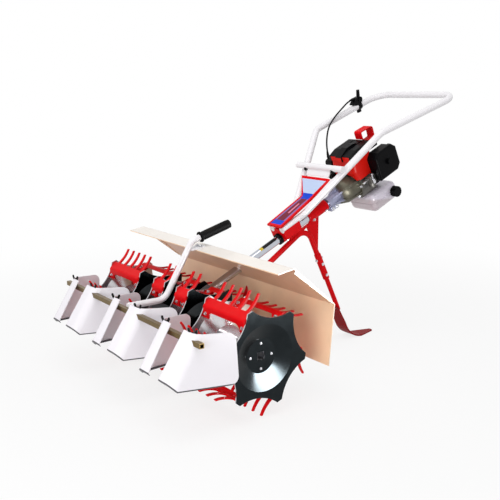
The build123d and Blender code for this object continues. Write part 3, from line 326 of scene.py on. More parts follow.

# %% [markdown]
# The float shields are white as well, but a band along the lower edge, where the folded hem turns
# under, is painted dark grey as painted shade. The band lies above two lines, one along the belly and
# one up the raised nose, so it is measured from those lines and needs no faces of its own.

# %% Float shields
SHIELD_WHITE, HEM_SHADE_GREY = srgb(232, 229, 234), srgb(84, 83, 87)
HEM, HEM_SOFT, BELLY_FALL = 0.0035, 0.0004, 0.0345
NOSE, BELLY = at(0, -297, -20), at(0, -280, -38)
OVER_BELLY = Vector((0, BELLY_FALL, 1)).normalized()
OVER_NOSE = Vector((0, NOSE.z - BELLY.z, BELLY.y - NOSE.y)).normalized()
finishes["float_enamel"], tree, shader = new_finish("float_enamel", shine=0.12)
lowest = calc(tree, "MINIMUM", measured(tree, "Object", OVER_BELLY, BELLY),
              measured(tree, "Object", OVER_NOSE, NOSE))
# the dark band along the hem is painted shade
hem_shade = ramp(tree, lowest, HEM + HEM_SOFT, HEM - HEM_SOFT)
dress(tree, shader, blend_colour(tree, hem_shade, SHIELD_WHITE, HEM_SHADE_GREY), 0.32, dusty=0.0, peel_height=0.000005)
print("hem_shade", HEM, "m high along the shields")

# %% [markdown]
# Two engine pieces change colour along the drive tube. The clutch bell is dark, but its neck is paler
# where the tube slides in. The black top cover has a red front, framed by the black of its edges.
# Distances along the tube, above it and across it mark these zones.

# %% Bell and cover
NECK_ALLOY, BELL_ALLOY, RUBBED_ALLOY = srgb(142, 144, 168), srgb(88, 85, 72), srgb(150, 149, 146)
COVER_BLACK, COVER_RED = srgb(7, 7, 9), srgb(222, 26, 16)
NECK_RUNS_OUT, NECK_SOFT = 0.732, 0.004
FRONT_TOP, FRONT_HALF, FRONT_SOFT = 0.172, 0.046, 0.001
finishes["bell_alloy"], tree, shader = new_finish("bell_alloy", metallic=0.6)
station = measured(tree, "Object", ALONG_TUBE, AXLE)
past_neck = ramp(tree, station, NECK_RUNS_OUT - NECK_SOFT, NECK_RUNS_OUT + NECK_SOFT)
grain = place_group(tree, skin, Peel_Scale=420.0, Mottle_Scale=80.0).outputs["Mottle"]
alloy = shades(tree, blend_colour(tree, past_neck, NECK_ALLOY, BELL_ALLOY), 0.25, grain)
dress(tree, shader, alloy, 0.46, peel=420.0, peel_height=0.00018, wear=RUBBED_ALLOY, dusty=0.03)

finishes["cover_plastic"], tree, shader = new_finish("cover_plastic", shine=0.08)
looks_ahead = ramp(tree, measured(tree, "Normal", -ALONG_TUBE), 0.6, 0.75)
low = ramp(tree, measured(tree, "Object", ABOVE_TUBE, AXLE), FRONT_TOP + FRONT_SOFT, FRONT_TOP - FRONT_SOFT)
aside = calc(tree, "ABSOLUTE", measured(tree, "Object", ACROSS, AXLE))
inner = ramp(tree, aside, FRONT_HALF + FRONT_SOFT, FRONT_HALF - FRONT_SOFT)
front = calc(tree, "MULTIPLY", looks_ahead, calc(tree, "MULTIPLY", low, inner))
dress(tree, shader, blend_colour(tree, front, COVER_BLACK, COVER_RED), 0.36, peel=700.0,
      peel_height=0.00006, dusty=0.01)
print("two-tone finishes: bell_alloy, cover_plastic")

# %% [markdown]
# The fuel tank is a milky blow moulding: the fuel shows through as a slightly warmer, darker lower
# half. A second solid for the fuel would hardly be seen, so a level plane in the object's coordinates
# gives that line, softened because the wall is thick.

# %% Milky tank
MILK, FUEL_TINT = srgb(222, 215, 228), srgb(196, 184, 190)
FUEL_SHARE, FUEL_SOFT = 0.42, 0.006
tank_low, tank_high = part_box("fuel_tank")
fuel_line = tank_low[2] + FUEL_SHARE * (tank_high[2] - tank_low[2])
finishes["tank_plastic"], tree, shader = new_finish("tank_plastic")
above = ramp(tree, measured(tree, "Object", UP), fuel_line - FUEL_SOFT, fuel_line + FUEL_SOFT)
shader.inputs["Subsurface Weight"].default_value = 0.25
shader.inputs["Subsurface Radius"].default_value = (0.012, 0.011, 0.012)
shader.inputs["Coat Weight"].default_value = 0.3
dress(tree, shader, blend_colour(tree, above, FUEL_TINT, MILK), 0.30, peel=300.0, dusty=0.04)
print("fuel stands", round(fuel_line - tank_low[2], 3), "m up the tank")

# %% [markdown]
# The star discs are bare steel on the inner faces and along the cut edges. Their outer faces are painted
# a dark gloss that stands in for a dark reflection, so the pressed dish throws back the light from the
# side, with a lighter painted highlight along their edges. Radius from the axle and the face's own
# direction are enough to tell these zones apart on each rotor.

# %% Star discs
DARK_REFLECTION_PLATE, EDGE_HIGHLIGHT_PLATE, BARE_STEEL = srgb(35, 39, 41), srgb(120, 124, 126), srgb(202, 200, 203)
RIM_STARTS, RIM_FULL = 0.100, 0.104
ROTOR_MIDDLES = {"left": -0.300, "middle_left": -0.0695, "middle_right": 0.0695, "right": 0.300}


def disc_finish(name, middle):
    """Painted dark reflection and edge highlight outside, bare inside and on the cut edge; middle is the rotor's
    own middle, across.
    """
    finish, tree, shader = new_finish(name, metallic=1.0)
    facing = measured(tree, "Normal", ACROSS)
    side = calc(tree, "SIGN", measured(tree, "Object", ACROSS, ACROSS * middle))
    outer = ramp(tree, calc(tree, "MULTIPLY", side, facing), -0.05, 0.05)
    legs = [measured(tree, "Object", axis, AXLE) for axis in (BEHIND, UP)]
    radius = calc(tree, "SQRT", calc(tree, "ADD", *[calc(tree, "MULTIPLY", leg, leg) for leg in legs]))
    edge_on = ramp(tree, calc(tree, "ABSOLUTE", facing), 0.5, 0.3)
    cut = calc(tree, "MULTIPLY", edge_on, ramp(tree, radius, RIM_STARTS, RIM_FULL))
    dark = calc(tree, "MULTIPLY", outer, calc(tree, "SUBTRACT", 1.0, cut))
    grain = place_group(tree, skin, Peel_Scale=700.0, Mottle_Scale=40.0).outputs["Mottle"]
    # the dark outer plate is painted reflection, and the edge mask lays a painted highlight on it
    edge_highlight = place_group(tree, edges, Radius=0.0014, Break_Up=60.0).outputs["Mask"]
    plate = blend_colour(tree, edge_highlight, shades(tree, DARK_REFLECTION_PLATE, 0.12, grain), EDGE_HIGHLIGHT_PLATE)
    steel = shades(tree, BARE_STEEL, 0.10, grain)
    dress(tree, shader, blend_colour(tree, dark, steel, plate), 0.19, peel=700.0, peel_strength=0.4,
          mottle=40.0, dusty=0.0, rough_spread=0.06)
    return finish


disc_finishes = {name: disc_finish("disc_steel_" + name, middle) for name, middle in ROTOR_MIDDLES.items()}
finishes["disc_steel"] = disc_finishes["middle_left"]
print("disc finishes for", len(disc_finishes), "rotors")

# %% [markdown]
# The imported record says which finish each solid takes, so one loop hands them out. A short table names
# the solids that differ from their plain slot: the discs, each with the finish of its own rotor, the
# sleeves between them, the float shields, the stand foot in a darker red as painted shade, and the two
# engine pieces in two tones.

# %% Hand out the finishes
own_finishes = {"discs_" + name: made for name, made in disc_finishes.items()}
own_finishes |= {f"float_{row}_{side}": finishes["float_enamel"]
                 for row in ("left", "middle", "right") for side in "ab"}
own_finishes |= {"stand_foot": finishes["foot_enamel"], "clutch_housing": finishes["bell_alloy"],
                 "top_cover": finishes["cover_plastic"], "hub_sleeves": finishes["axle_steel"]}
for part in frame["record"]["subparts"]:
    solid = frame["nodes"][part["node"]]
    finish = own_finishes.get(part["node"], finishes[part["material_slot"]])
    if not solid.material_slots:
        solid.data.materials.append(finish)
    for slot in solid.material_slots:
        slot.material = finish

# %% [markdown]
# The throttle cable hangs from the thumb lever on the left rail, passes behind the rail and drops to
# the engine. Straight runs with rounded corners would look like bent wire, so it is one smooth spline
# that has the route's points as its control points, thick enough to be a plastic sheath. The same
# spline without a thickness gives the cable's own line.

# %% Throttle cable
CABLE_ROUTE = ((-186, 883, 697), (-176, 850, 690), (-164, 806, 664), (-154, 760, 634),
               (-146, 722, 598), (-132, 700, 556), (-112, 684, 518), (-90, 672, 490))
CABLE_RADIUS = 0.003


def curve_object(name, points, kind, radius=0.0):
    """An open curve of straight or smooth kind, round in section where it has a radius."""
    data = bpy.data.curves.new(name, "CURVE")
    data.dimensions = "3D"
    data.bevel_depth = radius
    data.bevel_resolution = 4
    data.resolution_u = 12
    data.use_fill_caps = radius > 0
    spline = data.splines.new(kind)
    spline.points.add(len(points) - 1)
    for point, spot in zip(spline.points, points):
        point.co = (*spot, 1.0)
    if kind == "NURBS":
        spline.order_u = 3
        spline.use_endpoint_u = True
    made = bpy.data.objects.new(name, data)
    scene.collection.objects.link(made)
    return made


def flattened(made):
    """The plain mesh that an object's curve or modifiers evaluate to."""
    bpy.context.view_layer.update()
    return bpy.data.meshes.new_from_object(made.evaluated_get(bpy.context.evaluated_depsgraph_get()))


cable_points = [at(*row) for row in CABLE_ROUTE]
bare = curve_object("bare_route", cable_points, "NURBS")
route = [vertex.co.copy() for vertex in flattened(bare).vertices]
bpy.data.objects.remove(bare)
cable = curve_object("throttle_sheath", cable_points, "NURBS", CABLE_RADIUS)
cable.data.materials.append(finishes["black_plastic"])

# %% [markdown]
# Turned pieces, such as boots and knobs, come from a lathe: a profile of radius against length is
# carried round an axis, closed at both ends, and its normals are made to face out.

# %% Lathe
def mesh_piece(name, mesh, finish, body, sharp=35.0):
    """Links a mesh as a finished piece that rides on a body."""
    for polygon in mesh.polygons:
        polygon.use_smooth = True
    mesh.set_sharp_from_angle(angle=math.radians(sharp))
    mesh.materials.clear()
    mesh.materials.append(finish)
    made = bpy.data.objects.new(name, mesh)
    scene.collection.objects.link(made)
    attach(made, body)
    return made


def turned(shape, profile, origin, axis, steps=28):
    """Adds a lathe form to a bmesh: profile rows are (radius, distance along the axis) in mm."""
    turn = UP.rotation_difference(axis.normalized()).to_matrix()
    rings = []
    for radius, along in profile:
        count = steps if radius > 0 else 1
        ring = []
        for k in range(count):
            angle = 2 * math.pi * k / steps
            local = Vector((radius * math.cos(angle), radius * math.sin(angle), along)) * MM
            ring.append(shape.verts.new(origin + turn @ local))
        rings.append(ring)
    for low, high in zip(rings, rings[1:]):
        for k in range(steps):
            n = k + 1
            corners = (low[k % len(low)], low[n % len(low)], high[n % len(high)], high[k % len(high)])
            shape.faces.new(list(dict.fromkeys(corners)))


def as_mesh(name, shape):
    """Ends a bmesh as a mesh whose faces point outwards."""
    bmesh.ops.recalc_face_normals(shape, faces=shape.faces)
    mesh = bpy.data.meshes.new(name)
    shape.to_mesh(mesh)
    shape.free()
    return mesh


# %% [markdown]
# A tapered rubber boot at either end of the cable keeps it from looking cut off. The boots follow the
# cable's own line, which says where it ends and which way it runs there.

# %% Cable boots
BOOT = ((0, -4), (5.0, -4), (5.4, 0), (5.4, 6), (4.6, 7), (4.6, 10), (5.0, 11), (4.2, 18), (3.4, 26), (0, 26))
boots = bmesh.new()
for tip, neighbour in ((route[0], route[1]), (route[-1], route[-2])):
    turned(boots, BOOT, tip, neighbour - tip)
cable_boots = mesh_piece("cable_boots", as_mesh("cable_boots", boots), finishes["grip_rubber"], "frame")
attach(cable, "frame")
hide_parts("throttle_cable")
print("boots on", cable.name)

# %% [markdown]
# Bolts repeat by the dozen, so Geometry Nodes set them. The tree puts one small pattern on every
# point, turns it to the point's own axis, spins it by a seeded random angle as a spanner leaves it,
# and scales it. Realize Instances and Set Material close the tree, and the result is kept as a mesh.

# %% Fastener tree
def new_tree(name, inputs):
    """An empty tree with a geometry input, named inputs and a geometry output."""
    tree = bpy.data.node_groups.new(name, "GeometryNodeTree")
    tree.interface.new_socket("Geometry", in_out="INPUT", socket_type="NodeSocketGeometry")
    for title, kind in inputs.items():
        tree.interface.new_socket(title, in_out="INPUT", socket_type="NodeSocket" + kind)
    tree.interface.new_socket("Geometry", in_out="OUTPUT", socket_type="NodeSocketGeometry")
    return tree, node(tree, "NodeGroupInput").outputs, node(tree, "NodeGroupOutput")


def close_tree(tree, given, end, instances):
    """Makes instances real, gives them their finish and leads them to the output."""
    real = node(tree, "GeometryNodeRealizeInstances", {"Geometry": instances}).outputs["Geometry"]
    paint = node(tree, "GeometryNodeSetMaterial", {"Geometry": real, "Material": given["Finish"]})
    tree.links.new(paint.outputs["Geometry"], end.inputs["Geometry"])


def attribute(tree, name, kind):
    """What each point carries under a name."""
    made = node(tree, "GeometryNodeInputNamedAttribute", {"Name": name}, data_type=kind)
    return open_socket(made.outputs, "Attribute")


fasteners, given, end = new_tree("fasteners_on_points", {
    "Pattern": "Object", "Scale": "Float", "Turn Spread": "Float", "Seed": "Int", "Finish": "Material"})
pattern = node(fasteners, "GeometryNodeObjectInfo", {"Object": given["Pattern"]})
axis, size = attribute(fasteners, "axis", "FLOAT_VECTOR"), attribute(fasteners, "size", "FLOAT")
aim = node(fasteners, "FunctionNodeAlignRotationToVector", {"Vector": axis}, axis="Z")
draw = node(fasteners, "FunctionNodeRandomValue", {
    "Min": 0.0, "Max": given["Turn Spread"], "Seed": given["Seed"]}, data_type="FLOAT")
spin = node(fasteners, "ShaderNodeCombineXYZ", {"Z": open_socket(draw.outputs, "Value")})
as_turn = node(fasteners, "FunctionNodeEulerToRotation", {"Euler": spin.outputs["Vector"]})
turn = node(fasteners, "FunctionNodeRotateRotation", {
    "Rotation": aim.outputs["Rotation"], "Rotate By": as_turn.outputs["Rotation"]}, rotation_space="LOCAL")
setter = node(fasteners, "GeometryNodeInstanceOnPoints", {
    "Points": given["Geometry"], "Instance": pattern.outputs["Geometry"],
    "Rotation": turn.outputs["Rotation"], "Scale": calc(fasteners, "MULTIPLY", size, given["Scale"])})
close_tree(fasteners, given, end, setter.outputs["Instances"])
print("fastener tree:", len(fasteners.nodes), "nodes")

# %% [markdown]
# The pattern of a bolt is a chamfered six-sided head on a washer, one millimetre across its flats so
# that a row's size reads as a spanner size. A wing nut has a turned body and two leaf-shaped ears.

# %% Fastener patterns
HEAD_CORNER = 1 / math.sqrt(3)
WASHER = ((0, 0), (0.84, 0), (0.84, 0.16), (0, 0.16))
HEAD = ((0, 0.16), (HEAD_CORNER, 0.16), (HEAD_CORNER, 0.66), (0.46, 0.78), (0, 0.78))
NUT_BODY = ((0, 0), (5.5, 0), (5.5, 3), (4.4, 9), (0, 9))
NUT_STUD = ((0, 8), (2.6, 8), (2.6, 13), (2.0, 14), (0, 14))
EAR = ((3.0, 2.0), (9.0, 8.0), (14.0, 17.0), (13.4, 21.0), (10.6, 21.6), (7.4, 16.0), (2.6, 8.6))
EAR_HALF = 1.4


def turned_pattern(rows):
    """A bmesh of lathe forms that stand on the origin; rows are (profile, steps)."""
    shape = bmesh.new()
    for profile, steps in rows:
        turned(shape, profile, Vector(), UP, steps)
    return shape


hexagon = turned_pattern(((WASHER, 18), (HEAD, 6)))
wing = turned_pattern(((NUT_BODY, 16), (NUT_STUD, 12)))
for way in (-1, 1):
    near, far = [[wing.verts.new(Vector((way * x, y, z)) * MM) for x, z in EAR]
                 for y in (-EAR_HALF, EAR_HALF)]
    wing.faces.new(near)
    wing.faces.new(reversed(far))
    for k in range(len(EAR)):
        n = (k + 1) % len(EAR)
        wing.faces.new((near[n], near[k], far[k], far[n]))
patterns = {}
for name, shape in (("hexagon", hexagon), ("wing", wing)):
    patterns[name] = bpy.data.objects.new("pattern_" + name, as_mesh(name, shape))
    scene.collection.objects.link(patterns[name])
print("patterns:", {name: len(made.data.polygons) for name, made in patterns.items()})

# %% [markdown]
# A set of fasteners is a cloud of points that carry an axis and a size. The modifier's inputs are set
# by their identifiers before the first look at the result, then the result replaces the points.

# %% Fastener setter
def run_tree(made, tree, values):
    """Runs a tree on an object with these inputs, removes the object and gives the plain result."""
    modifier = made.modifiers.new("nodes", "NODES")
    modifier.node_group = tree
    names = {i.name: i.identifier for i in tree.interface.items_tree if i.in_out == "INPUT"}
    for title, value in values.items():
        modifier[names[title]] = value
    mesh = flattened(made)
    bpy.data.objects.remove(made)
    return mesh


def set_fasteners(name, rows, pattern, finish, body, scale=1.0, spread=math.pi / 3, seed=3):
    """rows are (place, axis, size); spread is the most that a fastener is turned on its axis."""
    points = bpy.data.meshes.new(name + "_points")
    places, axes, sizes = zip(*rows)
    points.from_pydata([tuple(place) for place in places], [], [])
    points.attributes.new("axis", "FLOAT_VECTOR", "POINT").data.foreach_set(
        "vector", [v for axis in axes for v in axis])
    points.attributes.new("size", "FLOAT", "POINT").data.foreach_set("value", sizes)
    cloud = bpy.data.objects.new(name + "_points", points)
    scene.collection.objects.link(cloud)
    mesh = run_tree(cloud, fasteners, {"Pattern": patterns[pattern], "Scale": scale, "Turn Spread": spread,
                                       "Seed": seed, "Finish": finish})
    mesh_piece(name, mesh, finish, body)
    print(name, len(rows), "fasteners,", len(mesh.polygons), "faces")


# %% [markdown]
# On the rotors four bolts hold each hub plate, and one bolt holds each leg of a comb. Their places
# follow the six corners of the star, so they come from the same few angles as the discs do.

# %% Rotor bolts
HUB_FACES = ((0.405, 1), (0.195, -1), (0.105, 1), (-0.105, -1), (-0.195, 1), (-0.405, -1))
DISH_DEPTH, HUB_BOLT_RADIUS, HUB_BOLTS, HUB_HEAD = 0.021, 0.037, 4, 4.6
CORNER_PHASE, CORNERS = -69.5, 6
LEG_BOLT, LEG_FACE, LEG_HEAD = Vector((0.1125, 0.0312)), Vector((0.263, 0.965)), 7.0
LEG_REACHES = (0.089, 0.0195, 0.0195, 0.089)


def around_axle(x, radial, tangent, angle):
    """A place or direction given along a star corner's own radius and tangent."""
    c, s = math.cos(math.radians(angle)), math.sin(math.radians(angle))
    return Vector((x, radial * c - tangent * s, radial * s + tangent * c))


rotor_rows = []
for face, way in HUB_FACES:
    for k in range(HUB_BOLTS):
        spot = around_axle(face - way * DISH_DEPTH, HUB_BOLT_RADIUS, 0, k * 360 / HUB_BOLTS)
        rotor_rows.append((AXLE + spot, Vector((way, 0, 0)), HUB_HEAD))
for middle, reach in zip(ROTOR_MIDDLES.values(), LEG_REACHES):
    for side in (-1, 1):
        for k in range(CORNERS):
            angle = CORNER_PHASE + k * 360 / CORNERS
            spot = around_axle(middle + side * reach, *LEG_BOLT, angle)
            rotor_rows.append((AXLE + spot, around_axle(0, *LEG_FACE, angle), LEG_HEAD))
set_fasteners("rotor_bolts", rotor_rows, "hexagon", finishes["bolt_zinc"], "rotor")

# %% [markdown]
# The frame's bolts sit on the gear case, the collars and the stand, and higher up on the bracket of the
# lift handle, the clutch bell and its clamp. Each row is worked out from the part that it holds, so
# that a bolt stands on its face and points the right way.

# %% Case, collar and stand bolts
CASE_BOLTS, CASE_RADIUS, CASE_FACE, CASE_HEAD = 7, 0.056, 0.018, 8.0
COLLAR_STATIONS, COLLAR_RADIUS, COLLAR_ANGLE, COLLAR_HEAD = (456, 588, 650), 20.0, math.radians(-38), 7.0
LEG_TOP, LEG_RUN = at(0, 494, 262), Vector((0, 161, -328)).normalized()
SOCKET_BOLTS = ((0.138, LEG_RUN.cross(ACROSS)), (0.158, ACROSS), (0.205, ACROSS))
SOCKET_RADIUS, SOCKET_HEAD = 0.012, 7.0
frame_rows = []
for k in range(CASE_BOLTS):
    for way in (-1, 1):
        spot = around_axle(way * CASE_FACE, CASE_RADIUS, 0, (k + 0.5) * 360 / CASE_BOLTS)
        frame_rows.append((AXLE + spot, Vector((way, 0, 0)), CASE_HEAD))
for station in COLLAR_STATIONS:
    for way in (-1, 1):
        axis = ACROSS * way * math.cos(COLLAR_ANGLE) + ABOVE_TUBE * math.sin(COLLAR_ANGLE)
        frame_rows.append((on_tube(0, station, 0) + axis * COLLAR_RADIUS * MM, axis, COLLAR_HEAD))
for along, axis in SOCKET_BOLTS:
    for way in (-1, 1):
        spot = LEG_TOP + LEG_RUN * along + axis * way * SOCKET_RADIUS
        frame_rows.append((spot, axis * way, SOCKET_HEAD))
print("lower frame:", len(frame_rows), "bolts")

# %% [markdown]
# The crossbar's two bolts are black instead of bright, so they are a set of their own.

# %% Bracket, bell and crossbar bolts
LIP, LIP_BOLTS, LIP_UP, LIP_HEAD = (46, 245.3), (-10, 10), Vector((0, -9, 57.4)).normalized(), 8.0
BELL_BOLTS, BELL_FLANGE, BELL_BOLT_RADIUS, BELL_HEAD = 6, 807, 48.0, 8.0
CLAMP_STATIONS, CLAMP_HALF, CLAMP_DROP, CLAMP_HEAD = (685, 705), 11, 27, 9.0
CROSSBAR, CROSSBAR_RADIUS, CROSSBAR_HEAD = (551, 466.5), 0.011, 9.0
CROSSBAR_BOLTS, CROSSBAR_UNDER = (-68, 68), Vector((0, -0.5, -0.87))
frame_rows += [(at(x, *LIP), LIP_UP, LIP_HEAD) for x in LIP_BOLTS]
for k in range(BELL_BOLTS):
    angle = 2 * math.pi * k / BELL_BOLTS
    spot = on_tube(BELL_BOLT_RADIUS * math.cos(angle), BELL_FLANGE, BELL_BOLT_RADIUS * math.sin(angle))
    frame_rows.append((spot, -ALONG_TUBE, BELL_HEAD))
for station in CLAMP_STATIONS:
    for way in (-1, 1):
        frame_rows.append((on_tube(way * CLAMP_HALF, station, -CLAMP_DROP), ACROSS * way, CLAMP_HEAD))
set_fasteners("frame_bolts", frame_rows, "hexagon", finishes["bolt_zinc"], "frame")
dark_rows = [(at(x, *CROSSBAR) + CROSSBAR_UNDER * CROSSBAR_RADIUS, CROSSBAR_UNDER, CROSSBAR_HEAD)
             for x in CROSSBAR_BOLTS]
set_fasteners("dark_bolts", dark_rows, "hexagon", finishes["bolt_black"], "frame")

# %% [markdown]
# Wing nuts on the square bar let the shields be shifted without a spanner. One stands on either side
# of each slot, just behind the shield's upper edge, so its two ears show as a small dark V. The same
# tree sets them with a smaller turn and a larger scale.

# %% Wing nuts
ROWS, NUT_OFFSET, NUT_BACK, NUT_RISE = (-300, 0, 300), 70, -213.5, 89
nut_rows = [(at(row + side * NUT_OFFSET, NUT_BACK, NUT_RISE), UP, 1.0) for row in ROWS for side in (-1, 1)]
set_fasteners("wing_nuts", nut_rows, "wing", finishes["bolt_black"], "frame", scale=1.25, spread=0.3, seed=8)
for made in patterns.values():
    bpy.data.objects.remove(made)

# %% [markdown]
# The lift handle's rubber grip has fine rings for the hand. A second tree follows the grip's middle
# line: Curve to Points spaces the rings and gives each its turn, and a small profile makes the ring.

# %% Ring tree
rings, given, end = new_tree("rings_along_line", {
    "Count": "Int", "Core Radius": "Float", "Rib Radius": "Float", "Finish": "Material"})
spots = node(rings, "GeometryNodeCurveToPoints", {
    "Curve": given["Geometry"], "Count": given["Count"]}, mode="COUNT").outputs
hoop, profile = [
    node(rings, "GeometryNodeCurvePrimitiveCircle", {
        "Resolution": steps, "Radius": given[size]}).outputs["Curve"]
    for steps, size in ((36, "Core Radius"), (8, "Rib Radius"))]
swept = node(rings, "GeometryNodeCurveToMesh", {"Curve": hoop, "Profile Curve": profile})
setter = node(rings, "GeometryNodeInstanceOnPoints", {
    "Points": spots["Points"], "Instance": swept.outputs["Mesh"], "Rotation": spots["Rotation"]})
close_tree(rings, given, end, setter.outputs["Instances"])
print("ring tree:", len(rings.nodes), "nodes")

# %% [markdown]
# The grip gets nineteen fine rings, and two thick ones side by side as the flange at its lower end.

# %% Grip rings
# name, first and last ring below the grip's end, count, core radius, rib radius
GRIP_RINGS = (("grip_rings", 0.098, 0.006, 19, 0.0138, 0.0011),
              ("grip_flange", 0.111, 0.109, 2, 0.0150, 0.0026))
GRIP_END, GRIP_RUN = at(0, 158, 305), Vector((0, 138, 40)).normalized()
rubber = finishes["grip_rubber"]
for name, first, last, count, core, rib in GRIP_RINGS:
    line = curve_object(name + "_line", [GRIP_END - GRIP_RUN * below for below in (first, last)], "POLY")
    mesh = run_tree(line, rings, {"Count": count, "Core Radius": core, "Rib Radius": rib, "Finish": rubber})
    mesh_piece(name, mesh, rubber, "frame", sharp=60.0)
    print(name, count, "rings,", len(mesh.polygons), "faces")

# %% [markdown]
# Two printed sheets are stuck on the machine, one on the panel and one on the drive tube. Each is a
# thin closed strip with a flat map of its own, so that its print follows the bend.

# %% Thin sheets
def bent_sheet(name, rows, columns, place):
    """A sheet whose map has these rows; place(u, v, face) gives a point of its lower or upper face."""
    shape = bmesh.new()
    flat = shape.loops.layers.uv.new("print")
    grid = [[[shape.verts.new(place(j / columns, v, face)) for face in (0, 1)] for j in range(columns + 1)]
            for v in rows]

    def patch(*corners):
        made = shape.faces.new([grid[i][j][face] for i, j, face in corners])
        for loop, (i, j, face) in zip(made.loops, corners):
            loop[flat].uv = (j / columns, rows[i])

    last = len(rows) - 1
    for i in range(last):
        for j in range(columns):
            for face in (0, 1):
                patch((i, j, face), (i, j + 1, face), (i + 1, j + 1, face), (i + 1, j, face))
        for j in (0, columns):
            patch((i, j, 0), (i + 1, j, 0), (i + 1, j, 1), (i, j, 1))
    for j in range(columns):
        for i in (0, last):
            patch((i, j, 0), (i, j + 1, 0), (i, j + 1, 1), (i, j, 1))
    return as_mesh(name, shape)


def new_print(name):
    """A printed finish under a dull film, with the two directions of its flat map."""
    finish, tree, shader = new_finish(name, shine=0.1)
    flat = node(tree, "ShaderNodeUVMap", uv_map="print").outputs["UV"]
    sheet = node(tree, "ShaderNodeSeparateXYZ", {"Vector": flat}).outputs
    return finish, tree, shader, sheet["X"], sheet["Y"]


# %% [markdown]
# The panel between the rails carries the larger sheet. It lies in the panel's recess and bends up with
# it at the waist, so its rows follow the panel's own line and it widens as the panel does.

# %% Panel label
LABEL_LOW, LABEL_WAIST, LABEL_HIGH = [Vector(spot) for spot in ((434.0, 47.3), (606.0, 63.3), (668.0, 108.0))]
LABEL_HALVES = ((9.5, 27.4), (172.7, 20.6), (239.5, 63.6))
LABEL_RISE, LABEL_SHEET, LABEL_BEND, LABEL_BLUNT = 5.9, 0.7, 32.0, 0.07
LABEL_ROWS, LABEL_COLUMNS = 60, 12


def panel_line(distance):
    """A place along the bent panel, as (station, height) and the way up from it."""
    first, second = (LABEL_WAIST - LABEL_LOW).normalized(), (LABEL_HIGH - LABEL_WAIST).normalized()
    past = distance - (LABEL_WAIST - LABEL_LOW).length
    share = min(1.0, max(0.0, 0.5 + past / LABEL_BEND))
    run = (first * (1 - share) + second * share).normalized()
    spot = LABEL_WAIST + (first if past < 0 else second) * past
    blunt = max(0.0, 1 - abs(past) / (LABEL_BEND / 2)) ** 2 * LABEL_BEND * LABEL_BLUNT
    up = Vector((-run.y, run.x))
    return spot + up * blunt, up


def label_half(distance):
    """Half of the label's width at a distance along the panel."""
    for (start, low), (stop, high) in zip(LABEL_HALVES, LABEL_HALVES[1:]):
        if distance <= stop:
            return low + (high - low) * (distance - start) / (stop - start)
    return LABEL_HALVES[-1][1]


def label_point(u, v, face):
    """A point of the label's lower or upper face."""
    distance = LABEL_HALVES[0][0] + v * (LABEL_HALVES[-1][0] - LABEL_HALVES[0][0])
    spot, up = panel_line(distance)
    return on_tube((2 * u - 1) * label_half(distance), *(spot + up * (LABEL_RISE + face * LABEL_SHEET)))


label_rows = [i / LABEL_ROWS for i in range(LABEL_ROWS + 1)]
label_mesh = bent_sheet("panel_label", label_rows, LABEL_COLUMNS, label_point)
print("label:", len(label_mesh.polygons), "faces")

# %% [markdown]
# The print is blue at the sheet's foot, then a dark red band with a pink line, blue again at the waist,
# and a pale field above. It is drawn with the flat map: bands along the sheet choose between the
# colours, and a narrow strip down the middle lays in the pink line. It has no lettering.

# %% Label print
BRIGHT_BLUE, PALE_FIELD, MARGIN = srgb(14, 66, 200), srgb(186, 202, 232), srgb(136, 104, 168)
BAND_RED, PINK_LINE = srgb(112, 12, 44), srgb(226, 128, 156)
INK_SOFT, BAND_SOFT = 0.006, 0.005
FOOT_ENDS, WAIST_STARTS, FIELD_STARTS = 0.10, 0.64, 0.77
finish, tree, shader, u, v = new_print("label_print")


def strip(value, low, high):
    """One between two lines of the map, with soft edges."""
    rise = ramp(tree, value, low - INK_SOFT, low + INK_SOFT)
    return calc(tree, "MULTIPLY", rise, ramp(tree, value, high + INK_SOFT, high - INK_SOFT))


ink = blend_colour(tree, strip(u, 0.16, 0.84), MARGIN, BAND_RED)
ink = blend_colour(tree, calc(tree, "MULTIPLY", strip(u, 0.44, 0.60), strip(v, 0.28, 0.52)), ink, PINK_LINE)
ink = blend_colour(tree, ramp(tree, v, FOOT_ENDS + BAND_SOFT, FOOT_ENDS - BAND_SOFT), ink, BRIGHT_BLUE)
for line, colour in ((WAIST_STARTS, BRIGHT_BLUE), (FIELD_STARTS, PALE_FIELD)):
    ink = blend_colour(tree, ramp(tree, v, line - BAND_SOFT, line + BAND_SOFT), ink, colour)
dress(tree, shader, ink, 0.34, peel=1200.0, dusty=0.02)
mesh_piece("panel_label", label_mesh, finish, "frame")
print("label print:", len(tree.nodes), "nodes")

# %% [markdown]
# A dark strip with a small yellow end is stuck along the drive tube, just below the first collar. It is
# a patch of a slightly larger cylinder, so it hugs the tube, and its colours follow its own map.

# %% Tube strip
STRIP_LOW, STRIP_YELLOW_END, STRIP_HIGH = 345.0, 357.0, 416.0
STRIP_ANGLES, STRIP_RADII, STRIP_COLUMNS = (38.0, 92.0), (14.05, 14.35), 12
STRIP_YELLOW, STRIP_BLACK = srgb(206, 180, 60), srgb(15, 16, 20)
INK_CHANGES = (0.165, 0.172)


def strip_point(u, v, face):
    """A point of the strip's inner or outer face."""
    angle = math.radians(STRIP_ANGLES[0] + u * (STRIP_ANGLES[1] - STRIP_ANGLES[0]))
    radius = STRIP_RADII[face]
    station = STRIP_LOW + v * (STRIP_HIGH - STRIP_LOW)
    return on_tube(radius * math.cos(angle), station, radius * math.sin(angle))


